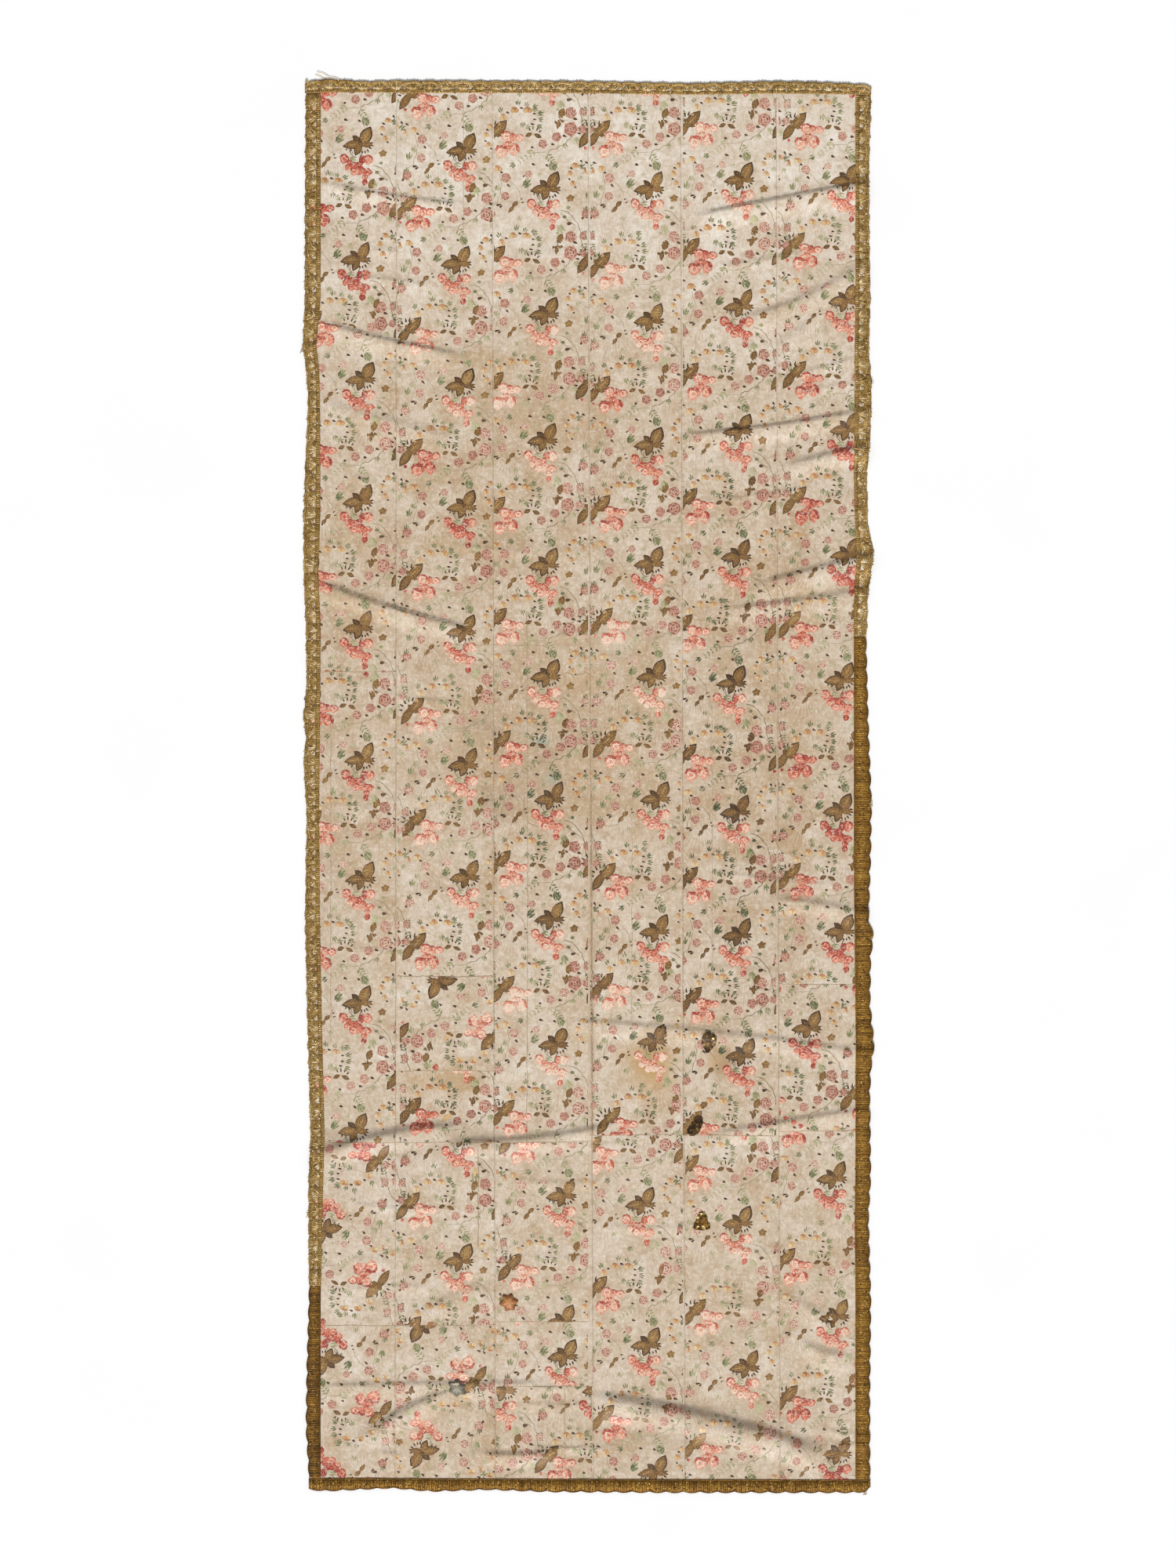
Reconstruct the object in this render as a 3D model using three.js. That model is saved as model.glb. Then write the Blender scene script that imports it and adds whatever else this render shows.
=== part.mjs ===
// Long embroidered silk panel, pieced from six lengthwise widths of flowered silk and
// edged all round with metal lace, lying face up on a table. Millimetres.
// +X runs to the right of the face, +Y to its upper end, +Z up out of the cloth.
import * as THREE from 'three';

// Drawing grid
// The panel is drawn on a grid: across from 388 to 1114, down from 101 to 1904.
const UNIT = 1.39;
const MIDDLE_ACROSS = 751;
const MIDDLE_DOWN = 1002.5;

// Cloth and lace thickness, and the space left between one piece and the next
const SILK_THICK = 1.2;
const LACE_THICK = 1.0;
const PATCH_THICK = 0.9;
const GAP = 0.3;

// How far inside the outer edge of the lace the raw edge of the silk stops, in grid units
const SILK_EDGE_BACK = 3;

// Rows of the silk grid, in grid units: long steps where it lies flat, short ones over a fold
const LONG_STEP = 60;
const SHORT_STEP = 10;
const STRIP_COLUMNS = 3;

// Openwork lace: one slot in each repeat
const OPEN_REPEAT = 21;
const SLOT_LENGTH = 9.5;
const SLOT_START = 0.46;
const SLOT_END = 0.7;

// Close-worked lace: one shallow scallop in each repeat
const SCALLOP_REPEAT = 21.5;
const SCALLOP_DEPTH = 2.2;

// Edges of the lace down the left side: down, outer edge, inner edge
const LEFT_EDGE = [
  { down: 107, outer: 390, inner: 409 },
  { down: 235, outer: 389, inner: 409 },
  { down: 380, outer: 388.5, inner: 409 },
  { down: 443, outer: 386, inner: 403.5 },
  { down: 471, outer: 390, inner: 407 },
  { down: 508, outer: 393, inner: 408 },
  { down: 597, outer: 389, inner: 408.5 },
  { down: 658, outer: 387, inner: 408.5 },
  { down: 731, outer: 387, inner: 406 },
  { down: 803, outer: 390, inner: 409 },
  { down: 873, outer: 391, inner: 408.5 },
  { down: 916, outer: 386.5, inner: 408 },
  { down: 940, outer: 390, inner: 408 },
  { down: 970, outer: 387, inner: 407.5 },
  { down: 1042, outer: 391, inner: 407 },
  { down: 1172, outer: 389, inner: 408 },
  { down: 1305, outer: 392, inner: 410.5 },
  { down: 1451, outer: 396, inner: 414 },
  { down: 1515, outer: 393, inner: 412 },
  { down: 1651, outer: 394, inner: 409 },
  { down: 1748, outer: 391, inner: 409 },
  { down: 1821, outer: 390, inner: 409 },
  { down: 1893, outer: 394.5, inner: 409 },
  { down: 1904, outer: 396, inner: 409 },
];

// Edges of the lace down the right side
const RIGHT_EDGE = [
  { down: 107, outer: 1108, inner: 1091 },
  { down: 120, outer: 1111, inner: 1091 },
  { down: 235, outer: 1108, inner: 1091 },
  { down: 380, outer: 1110, inner: 1091 },
  { down: 452, outer: 1108, inner: 1090 },
  { down: 488, outer: 1112, inner: 1090 },
  { down: 559, outer: 1110, inner: 1089.5 },
  { down: 610, outer: 1105.5, inner: 1089 },
  { down: 670, outer: 1107, inner: 1090.5 },
  { down: 704, outer: 1114.5, inner: 1092.6 },
  { down: 767, outer: 1106.5, inner: 1089 },
  { down: 824, outer: 1105, inner: 1089 },
  { down: 921, outer: 1107.7, inner: 1089 },
  { down: 1026, outer: 1112, inner: 1089 },
  { down: 1091, outer: 1111, inner: 1089 },
  { down: 1172, outer: 1108, inner: 1089.5 },
  { down: 1194, outer: 1115, inner: 1090 },
  { down: 1220, outer: 1111, inner: 1090 },
  { down: 1281, outer: 1110, inner: 1091 },
  { down: 1333, outer: 1115.6, inner: 1091.4 },
  { down: 1366, outer: 1111, inner: 1091 },
  { down: 1402, outer: 1109.6, inner: 1091 },
  { down: 1500, outer: 1111, inner: 1091 },
  { down: 1554, outer: 1108, inner: 1090 },
  { down: 1658, outer: 1111, inner: 1091 },
  { down: 1785, outer: 1109.6, inner: 1091 },
  { down: 1904, outer: 1110, inner: 1091 },
];

// Edges of the lace along the top: across, outer edge, inner edge
const TOP_EDGE = [
  { across: 389, outer: 108, inner: 119 },
  { across: 396, outer: 104, inner: 119 },
  { across: 414, outer: 101, inner: 118 },
  { across: 470, outer: 104.5, inner: 118 },
  { across: 501, outer: 103, inner: 118.5 },
  { across: 740, outer: 104, inner: 119 },
  { across: 885, outer: 106.7, inner: 121 },
  { across: 992, outer: 104, inner: 119.5 },
  { across: 1040, outer: 105, inner: 120 },
  { across: 1103, outer: 108, inner: 121 },
  { across: 1111, outer: 111, inner: 121 },
];

// Edges of the lace along the bottom, turned up in a round at its right end
const BOTTOM_EDGE = [
  { across: 394, outer: 1900, inner: 1885 },
  { across: 416, outer: 1902, inner: 1885 },
  { across: 477, outer: 1899, inner: 1885 },
  { across: 501, outer: 1898, inner: 1885.5 },
  { across: 550, outer: 1902.5, inner: 1885.5 },
  { across: 622, outer: 1900, inner: 1886 },
  { across: 700, outer: 1903, inner: 1886 },
  { across: 850, outer: 1904, inner: 1886.5 },
  { across: 1000, outer: 1904, inner: 1887 },
  { across: 1094, outer: 1904, inner: 1887 },
  { across: 1104, outer: 1902, inner: 1887 },
  { across: 1110, outer: 1896, inner: 1887 },
];

// Where each length of side lace begins and ends, in grid units down
const LEFT_LACE_JOIN = 1640;
const RIGHT_LACE_JOIN = 812;

// Seams between the six widths of silk: where each is at the top and at the bottom
const SEAMS = [
  { top: 506, bottom: 504 },
  { top: 628, bottom: 632 },
  { top: 750, bottom: 757 },
  { top: 868, bottom: 874 },
  { top: 990, bottom: 995 },
];

// Main folds, as soft ridges. Each runs from one place through a middle to an end.
// rise is its height in mm. above and below are its widths either side of its top, in grid
// units, towards the upper and the lower end of the panel.
const FOLDS = [
  { a: [398, 230], b: [500, 250], c: [600, 262], rise: 4, above: 7, below: 15 },
  { a: [398, 408], b: [484, 432], c: [600, 455], rise: 6, above: 8, below: 18 },
  { a: [400, 508], b: [490, 536], c: [590, 560], rise: 3, above: 14, below: 22 },
  { a: [395, 738], b: [484, 771], c: [610, 804], rise: 7, above: 8, below: 20 },
  { a: [880, 278], b: [997, 254], c: [1120, 232], rise: 7, above: 9, below: 22 },
  { a: [935, 410], b: [1030, 378], c: [1112, 330], rise: 6, above: 12, below: 24 },
  { a: [985, 446], b: [1025, 416], c: [1066, 378], rise: 4, above: 14, below: 20 },
  { a: [860, 556], b: [960, 547], c: [1110, 522], rise: 6, above: 8, below: 18 },
  { a: [990, 598], b: [1060, 580], c: [1125, 566], rise: 7, above: 12, below: 18 },
  { a: [955, 750], b: [1050, 724], c: [1125, 706], rise: 7, above: 12, below: 22 },
  { a: [920, 778], b: [1010, 768], c: [1112, 752], rise: 5, above: 12, below: 20 },
  { a: [975, 1147], b: [1045, 1153], c: [1112, 1170], rise: 5, above: 12, below: 16 },
  { a: [720, 1302], b: [900, 1316], c: [1112, 1344], rise: 4, above: 10, below: 18 },
  { a: [395, 1476], b: [480, 1450], c: [600, 1436], rise: 9, above: 16, below: 20 },
  { a: [560, 1456], b: [670, 1453], c: [790, 1433], rise: 7, above: 12, below: 18 },
  { a: [900, 1449], b: [1000, 1431], c: [1112, 1414], rise: 5, above: 9, below: 16 },
  { a: [500, 1690], b: [565, 1660], c: [640, 1634], rise: 3, above: 14, below: 22 },
  { a: [400, 1768], b: [490, 1766], c: [700, 1764], rise: 4, above: 9, below: 20 },
  { a: [452, 1842], b: [515, 1799], c: [590, 1768], rise: 9, above: 14, below: 24 },
  { a: [600, 1850], b: [660, 1855], c: [730, 1842], rise: 6, above: 10, below: 14 },
  { a: [750, 1784], b: [890, 1808], c: [1055, 1858], rise: 11, above: 20, below: 24 },
  { a: [985, 1648], b: [1045, 1676], c: [1080, 1704], rise: 4, above: 12, below: 18 },
  { a: [1010, 1700], b: [1045, 1722], c: [1096, 1728], rise: 6, above: 12, below: 22 },
];

// Length over which each end of a fold dies away, in grid units
const FOLD_FADE = 40;

// Small pieces sewn on over worn places: middle, turn in degrees, and size across and down
const PATCHES = [
  {
    name: 'bead_patch_upper',
    at: [905, 1330], turn: 20, across: 22, down: 27, shape: 'leaf', color: '#5a4a28',
  },
  {
    name: 'bead_patch_middle',
    at: [888, 1438], turn: -30, across: 22, down: 25, shape: 'leaf', color: '#4c3d22',
  },
  {
    name: 'bead_patch_lower',
    at: [895, 1559], turn: 0, across: 26, down: 29, shape: 'triangle', color: '#8a6a22',
  },
  {
    name: 'leaf_patch_grey',
    at: [583, 1770], turn: 35, across: 27, down: 24, shape: 'lobed', color: '#77787a',
  },
  {
    name: 'leaf_patch_orange',
    at: [649, 1661], turn: -10, across: 25, down: 27, shape: 'lobed', color: '#b5713e',
  },
];

// Outlines of the sewn-on pieces: distance from the middle every 30 degrees, as a share of
// half the size, starting at the right and going round by the upper end
const OUTLINES = {
  leaf: [0.62, 0.72, 0.86, 1, 0.86, 0.72, 0.62, 0.7, 0.82, 1, 0.8, 0.68],
  triangle: [0.62, 0.56, 0.7, 1, 0.7, 0.56, 0.62, 0.98, 0.74, 0.7, 0.74, 0.98],
  lobed: [1, 0.66, 0.9, 0.64, 0.95, 0.68, 1, 0.62, 0.88, 0.7, 0.9, 0.64],
};

const smooth = (t) => {
  const s = Math.min(1, Math.max(0, t));
  return s * s * (3 - 2 * s);
};

// Value of one column of an edge table at a place along it
function along(table, key, column, place) {
  let row = 1;
  while (row < table.length - 1 && table[row][key] < place) row += 1;
  const from = table[row - 1];
  const to = table[row];
  const t = Math.min(1, Math.max(0, (place - from[key]) / (to[key] - from[key])));
  return from[column] + (to[column] - from[column]) * t;
}

const leftOuter = (down) => along(LEFT_EDGE, 'down', 'outer', down);
const leftInner = (down) => along(LEFT_EDGE, 'down', 'inner', down);
const rightOuter = (down) => along(RIGHT_EDGE, 'down', 'outer', down);
const rightInner = (down) => along(RIGHT_EDGE, 'down', 'inner', down);
const topOuter = (across) => along(TOP_EDGE, 'across', 'outer', across);
const topInner = (across) => along(TOP_EDGE, 'across', 'inner', across);
const bottomOuter = (across) => along(BOTTOM_EDGE, 'across', 'outer', across);
const bottomInner = (across) => along(BOTTOM_EDGE, 'across', 'inner', across);

// How far down the top of a fold lies at a place across: the curve through its three points
function foldLine({ a, b, c }, across) {
  const wa = ((across - b[0]) * (across - c[0])) / ((a[0] - b[0]) * (a[0] - c[0]));
  const wb = ((across - a[0]) * (across - c[0])) / ((b[0] - a[0]) * (b[0] - c[0]));
  const wc = ((across - a[0]) * (across - b[0])) / ((c[0] - a[0]) * (c[0] - b[0]));
  return a[1] * wa + b[1] * wb + c[1] * wc;
}

// Height of the silk's underside above the table, in mm.
// Under the side lace a fold runs straight out, so the lace lies even on it.
function rise(across, down) {
  const place = Math.min(rightInner(down), Math.max(leftInner(down), across));
  let height = 0;
  for (const fold of FOLDS) {
    const start = smooth((place - fold.a[0]) / FOLD_FADE);
    const finish = smooth((fold.c[0] - place) / FOLD_FADE);
    const off = down - foldLine(fold, place);
    const share = Math.abs(off) / (off < 0 ? fold.above : fold.below);
    if (share < 1) {
      const ridge = fold.rise * start * finish * (1 - share * share) ** 2;
      height = Math.max(height, ridge);
    }
  }
  return height;
}

const toX = (across) => (across - MIDDLE_ACROSS) * UNIT;
const toY = (down) => (MIDDLE_DOWN - down) * UNIT;

// Closed sheet over a grid of points. Each point has across, down and low, the height of its
// underside. isOpen(i, j) leaves out one cell of the grid as a hole right through.
function sheetGeometry(grid, thick, isOpen = () => false) {
  const rows = grid.length;
  const columns = grid[0].length;
  const positions = [];
  for (const row of grid) {
    for (const point of row) {
      positions.push(toX(point.across), toY(point.down), point.low);
      positions.push(toX(point.across), toY(point.down), point.low + thick);
    }
  }
  const under = (i, j) => 2 * (i * columns + j);
  const solid = (i, j) =>
    i >= 0 && j >= 0 && i < rows - 1 && j < columns - 1 && !isOpen(i, j);
  const index = [];
  const wall = (p, q) => index.push(p, q, q + 1, p, q + 1, p + 1);
  for (let i = 0; i < rows - 1; i += 1) {
    for (let j = 0; j < columns - 1; j += 1) {
      if (!solid(i, j)) continue;
      const a = under(i, j);
      const b = under(i + 1, j);
      const c = under(i + 1, j + 1);
      const d = under(i, j + 1);
      index.push(a + 1, b + 1, c + 1, a + 1, c + 1, d + 1);
      index.push(a, c, b, a, d, c);
      if (!solid(i, j - 1)) wall(a, b);
      if (!solid(i + 1, j)) wall(b, c);
      if (!solid(i, j + 1)) wall(c, d);
      if (!solid(i - 1, j)) wall(d, a);
    }
  }
  const used = new Map();
  const kept = [];
  const packed = index.map((corner) => {
    if (!used.has(corner)) {
      used.set(corner, used.size);
      kept.push(...positions.slice(3 * corner, 3 * corner + 3));
    }
    return used.get(corner);
  });
  const geometry = new THREE.BufferGeometry();
  geometry.setAttribute('position', new THREE.Float32BufferAttribute(kept, 3));
  geometry.setIndex(packed);
  geometry.computeVertexNormals();
  return geometry;
}

// Rows for a stretch of cloth from top to bottom, short steps wherever a fold crosses it
function rowPlaces(top, bottom, places) {
  const folded = (down) => places.some((across) => rise(across, down) > 0.15);
  const rows = [top];
  let here = top;
  while (here < bottom) {
    let step = LONG_STEP;
    for (let ahead = 0; ahead <= LONG_STEP; ahead += 2) {
      if (folded(here + ahead)) {
        step = Math.max(SHORT_STEP, ahead - 2);
        break;
      }
    }
    here = bottom - here - step < SHORT_STEP ? bottom : here + step;
    rows.push(here);
  }
  return rows;
}

const group = new THREE.Group();
group.name = 'embroidered_panel';

function addPiece(name, geometry, material) {
  const mesh = new THREE.Mesh(geometry, material);
  mesh.name = name;
  group.add(mesh);
}

const silkMaterial = () =>
  new THREE.MeshStandardMaterial({ color: '#cfc3af', roughness: 0.55, metalness: 0 });
const openLaceMaterial = () =>
  new THREE.MeshStandardMaterial({ color: '#80693a', roughness: 0.5, metalness: 0.6 });
const closeLaceMaterial = () =>
  new THREE.MeshStandardMaterial({ color: '#6e5526', roughness: 0.5, metalness: 0.6 });

// Silk
// Six widths side by side. The two outer ones have one more column under the lace.
const seamAt = (seam, down) => {
  const t = (down - TOP_EDGE[0].outer) / (BOTTOM_EDGE[0].outer - TOP_EDGE[0].outer);
  return SEAMS[seam].top + (SEAMS[seam].bottom - SEAMS[seam].top) * t;
};
const SILK_TOP = 110;
const SILK_BOTTOM = 1895;
const HALF_GAP = GAP / 2 / UNIT;
const silkRows = [];
const silkGrids = [];

for (let strip = 0; strip < 6; strip += 1) {
  const isFirst = strip === 0;
  const isLast = strip === 5;
  const fromAt = (down) => (isFirst ? leftInner(down) : seamAt(strip - 1, down) + HALF_GAP);
  const toAt = (down) => (isLast ? rightInner(down) : seamAt(strip, down) - HALF_GAP);
  const samples = [0, 0.25, 0.5, 0.75, 1].map((t) => fromAt(1000) + (toAt(1000) - fromAt(1000)) * t);
  const rows = rowPlaces(SILK_TOP, SILK_BOTTOM, samples);
  silkRows.push(rows);
  const grid = rows.map((down) => {
    const from = fromAt(down);
    const to = toAt(down);
    const across = [];
    if (isFirst) across.push(leftOuter(down) + SILK_EDGE_BACK);
    for (let k = 0; k <= STRIP_COLUMNS; k += 1) {
      across.push(from + ((to - from) * k) / STRIP_COLUMNS);
    }
    if (isLast) across.push(rightOuter(down) - SILK_EDGE_BACK);
    return across.map((place) => ({ across: place, down, low: rise(place, down) }));
  });
  silkGrids.push(grid);
  addPiece(`silk_width_${strip + 1}`, sheetGeometry(grid, SILK_THICK), silkMaterial());
}

// Height of the top face of a side width under the lace, straight between its rows
function silkTopAt(rows, across, down) {
  let i = 1;
  while (i < rows.length - 1 && rows[i] < down) i += 1;
  const t = (down - rows[i - 1]) / (rows[i] - rows[i - 1]);
  const low = rise(across, rows[i - 1]) * (1 - t) + rise(across, rows[i]) * t;
  return low + SILK_THICK;
}

// Side lace
// Rows at the ends and middle of each repeat, and at each silk row where the silk rises.
function sideLace(name, { outer, inner, rows, top, bottom, scalloped, material }) {
  const repeats = Math.round((bottom - top) / (scalloped ? SCALLOP_REPEAT : OPEN_REPEAT));
  const pitch = (bottom - top) / repeats;
  const slotShare = SLOT_LENGTH / OPEN_REPEAT;
  const marks = scalloped ? [0, 0.25, 0.5, 0.75] : [0, 1 - slotShare];
  const places = [bottom];
  for (let k = 0; k < repeats; k += 1) {
    for (const mark of marks) places.push(top + (k + mark) * pitch);
  }
  for (const down of rows) {
    const clear = places.every((place) => Math.abs(place - down) > 0.4);
    if (down > top && down < bottom && rise(inner(down), down) > 0 && clear) places.push(down);
  }
  places.sort((p, q) => p - q);
  const shares = scalloped ? [0, 1] : [0, SLOT_START, SLOT_END, 1];
  const grid = places.map((down) => {
    const wave = Math.abs(Math.sin((Math.PI * (down - top)) / pitch));
    const tuck = scalloped ? SCALLOP_DEPTH * (1 - wave) : 0;
    const inside = inner(down);
    const outside = outer(down) + Math.sign(inside - outer(down)) * tuck;
    const low = silkTopAt(rows, inside, down) + GAP;
    return shares.map((share) => ({ across: outside + (inside - outside) * share, down, low }));
  });
  // A grid that runs from right to left would face down, so it is turned round
  const turned = inner(top) < outer(top);
  if (turned) grid.forEach((row) => row.reverse());
  const isOpen = (i, j) => {
    if (scalloped || j !== 1) return false;
    const middle = ((places[i] + places[i + 1]) / 2 - top) / pitch;
    return middle - Math.floor(middle) > 1 - slotShare;
  };
  addPiece(name, sheetGeometry(grid, LACE_THICK, isOpen), material);
}

const sideTop = 121.4;
const sideBottom = 1884.6;
const cut = GAP / 2 / UNIT;

sideLace('lace_left_upper', {
  outer: leftOuter,
  inner: leftInner,
  rows: silkRows[0],
  top: 119.5,
  bottom: LEFT_LACE_JOIN - cut,
  scalloped: false,
  material: openLaceMaterial(),
});
sideLace('lace_left_lower', {
  outer: leftOuter,
  inner: leftInner,
  rows: silkRows[0],
  top: LEFT_LACE_JOIN + cut,
  bottom: sideBottom,
  scalloped: true,
  material: closeLaceMaterial(),
});
sideLace('lace_right_upper', {
  outer: rightOuter,
  inner: rightInner,
  rows: silkRows[5],
  top: sideTop,
  bottom: RIGHT_LACE_JOIN - cut,
  scalloped: false,
  material: openLaceMaterial(),
});
sideLace('lace_right_lower', {
  outer: rightOuter,
  inner: rightInner,
  rows: silkRows[5],
  top: RIGHT_LACE_JOIN + cut,
  bottom: 1886.6,
  scalloped: true,
  material: closeLaceMaterial(),
});

// End lace
// The top and bottom lengths cover the corners and lie flat, clear of every fold.
function endLace(name, { edge, outer, inner, scalloped, material }) {
  const left = edge[0].across;
  const right = edge[edge.length - 1].across;
  const repeats = Math.round((right - left) / (scalloped ? SCALLOP_REPEAT : OPEN_REPEAT));
  const pitch = (right - left) / repeats;
  const slotShare = SLOT_LENGTH / OPEN_REPEAT;
  const marks = scalloped ? [0, 0.25, 0.5, 0.75] : [0, 1 - slotShare];
  const places = [right];
  for (let k = 0; k < repeats; k += 1) {
    for (const mark of marks) places.push(left + (k + mark) * pitch);
  }
  places.sort((p, q) => p - q);
  const shares = scalloped ? [0, 1] : [0, SLOT_START, SLOT_END, 1];
  const low = SILK_THICK + GAP;
  const grid = places.map((across) => {
    const wave = Math.abs(Math.sin((Math.PI * (across - left)) / pitch));
    const tuck = scalloped ? SCALLOP_DEPTH * (1 - wave) : 0;
    const inside = inner(across);
    const outside = outer(across) + Math.sign(inside - outer(across)) * tuck;
    return shares.map((share) => ({ across, down: outside + (inside - outside) * share, low }));
  });
  const turned = inner(left) > outer(left);
  if (turned) grid.forEach((row) => row.reverse());
  const isOpen = (i, j) => {
    if (scalloped || j !== 1) return false;
    const middle = ((places[i] + places[i + 1]) / 2 - left) / pitch;
    return middle - Math.floor(middle) > 1 - slotShare;
  };
  addPiece(name, sheetGeometry(grid, LACE_THICK, isOpen), material);
}

endLace('lace_top', {
  edge: TOP_EDGE,
  outer: topOuter,
  inner: topInner,
  scalloped: false,
  material: openLaceMaterial(),
});
endLace('lace_bottom', {
  edge: BOTTOM_EDGE,
  outer: bottomOuter,
  inner: bottomInner,
  scalloped: true,
  material: closeLaceMaterial(),
});

// Sewn-on pieces
// Height of the top face of one silk width: two flat triangles in each cell of its grid
function silkSurface(grid, across, down) {
  let i = 1;
  while (i < grid.length - 1 && grid[i][0].down < down) i += 1;
  const upper = grid[i - 1];
  const lower = grid[i];
  const t = (down - upper[0].down) / (lower[0].down - upper[0].down);
  const edgeAt = (j) => upper[j].across * (1 - t) + lower[j].across * t;
  let j = 1;
  while (j < upper.length - 1 && edgeAt(j) < across) j += 1;
  const s = (across - edgeAt(j - 1)) / (edgeAt(j) - edgeAt(j - 1));
  const a = upper[j - 1].low;
  const b = lower[j - 1].low;
  const c = lower[j].low;
  const d = upper[j].low;
  const low = t > s ? a + (b - a) * t + (c - b) * s : a + (d - a) * s + (c - d) * t;
  return low + SILK_THICK;
}

// A patch bends with the silk and is lifted by as much as its flat faces need to clear it
function patchGeometry({ at, turn, across, down, shape }, grid) {
  const spin = (turn * Math.PI) / 180;
  const rim = OUTLINES[shape].map((share, k) => {
    const angle = (k * Math.PI) / 6;
    const x = (share * Math.cos(angle) * across) / 2;
    const y = (-share * Math.sin(angle) * down) / 2;
    const placeAcross = at[0] + x * Math.cos(spin) - y * Math.sin(spin);
    const placeDown = at[1] + x * Math.sin(spin) + y * Math.cos(spin);
    return [placeAcross, placeDown, silkSurface(grid, placeAcross, placeDown)];
  });
  const middle = [at[0], at[1], silkSurface(grid, at[0], at[1])];
  let lift = 0;
  rim.forEach((p, k) => {
    const q = rim[(k + 1) % rim.length];
    for (let u = 0; u <= 8; u += 1) {
      for (let v = 0; v <= 8 - u; v += 1) {
        const w = 8 - u - v;
        const spot = [0, 1, 2].map((axis) => (p[axis] * u + q[axis] * v + middle[axis] * w) / 8);
        lift = Math.max(lift, silkSurface(grid, spot[0], spot[1]) - spot[2]);
      }
    }
  });
  const positions = [];
  for (const point of [middle, ...rim]) {
    const low = point[2] + lift + GAP + (lift > 0 ? 0.2 : 0);
    positions.push(toX(point[0]), toY(point[1]), low);
    positions.push(toX(point[0]), toY(point[1]), low + PATCH_THICK);
  }
  const index = [];
  for (let k = 0; k < rim.length; k += 1) {
    const p = 2 + 2 * k;
    const q = 2 + 2 * ((k + 1) % rim.length);
    index.push(1, p + 1, q + 1, 0, q, p);
    index.push(p, q, q + 1, p, q + 1, p + 1);
  }
  const geometry = new THREE.BufferGeometry();
  geometry.setAttribute('position', new THREE.Float32BufferAttribute(positions, 3));
  geometry.setIndex(index);
  geometry.computeVertexNormals();
  return geometry;
}

for (const patch of PATCHES) {
  const width = SEAMS.filter((seam, k) => seamAt(k, patch.at[1]) < patch.at[0]).length;
  const material = new THREE.MeshStandardMaterial({
    color: patch.color,
    roughness: 0.45,
    metalness: patch.name.startsWith('bead') ? 0.8 : 0,
  });
  addPiece(patch.name, patchGeometry(patch, silkGrids[width]), material);
}

export default group;
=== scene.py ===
# %% [markdown]
# # A long panel of flowered silk
#
# The piece is a cover of cream silk, about 1 m by 2.5 m, lying face up. It was pieced from six
# lengthwise widths of one flowered silk, patched again lower down, and edged with gold metal lace.
#
# The CAD gives its outline and its main folds. This notebook makes the cloth itself: thin sheets
# that lie on the same folds, the woven flowers as thin raised shapes that bend with the silk,
# the lace as laid threads, and the small patches.

# %% Open the CAD frame
import math
import random

import bmesh
import bpy
import numpy as np
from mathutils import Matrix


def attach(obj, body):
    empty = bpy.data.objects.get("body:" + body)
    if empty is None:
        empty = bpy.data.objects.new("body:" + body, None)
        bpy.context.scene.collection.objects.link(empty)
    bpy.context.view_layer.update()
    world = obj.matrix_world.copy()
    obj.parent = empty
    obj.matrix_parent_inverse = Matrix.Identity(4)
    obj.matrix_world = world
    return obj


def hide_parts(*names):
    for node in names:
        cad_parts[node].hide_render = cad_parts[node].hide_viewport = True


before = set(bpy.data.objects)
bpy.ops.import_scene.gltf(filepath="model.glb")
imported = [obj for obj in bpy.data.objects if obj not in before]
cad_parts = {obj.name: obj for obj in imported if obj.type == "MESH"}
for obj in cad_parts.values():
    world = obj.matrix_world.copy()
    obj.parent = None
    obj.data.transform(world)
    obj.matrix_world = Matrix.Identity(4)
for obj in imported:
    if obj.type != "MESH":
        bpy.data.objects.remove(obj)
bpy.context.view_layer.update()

# %% [markdown]
# ## The drawing grid
#
# The panel is drawn on a grid, across and down, with 1.39 mm to one grid unit. Everything below
# is placed on it and turned into metres at the end, so a flower can be read off at "across 590,
# down 640" and still land on the CAD model.

# %% Grid, edges and seams
UNIT = 0.00139
MIDDLE_ACROSS = 751.0
MIDDLE_DOWN = 1002.5
SILK_THICK = 0.0012
LACE_THICK = 0.0010
GAP = 0.0003
SILK_TOP_EDGE = 110.0
SILK_BOTTOM_EDGE = 1895.0


def to_x(across):
    return (across - MIDDLE_ACROSS) * UNIT


def to_y(down):
    return (MIDDLE_DOWN - down) * UNIT


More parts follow.
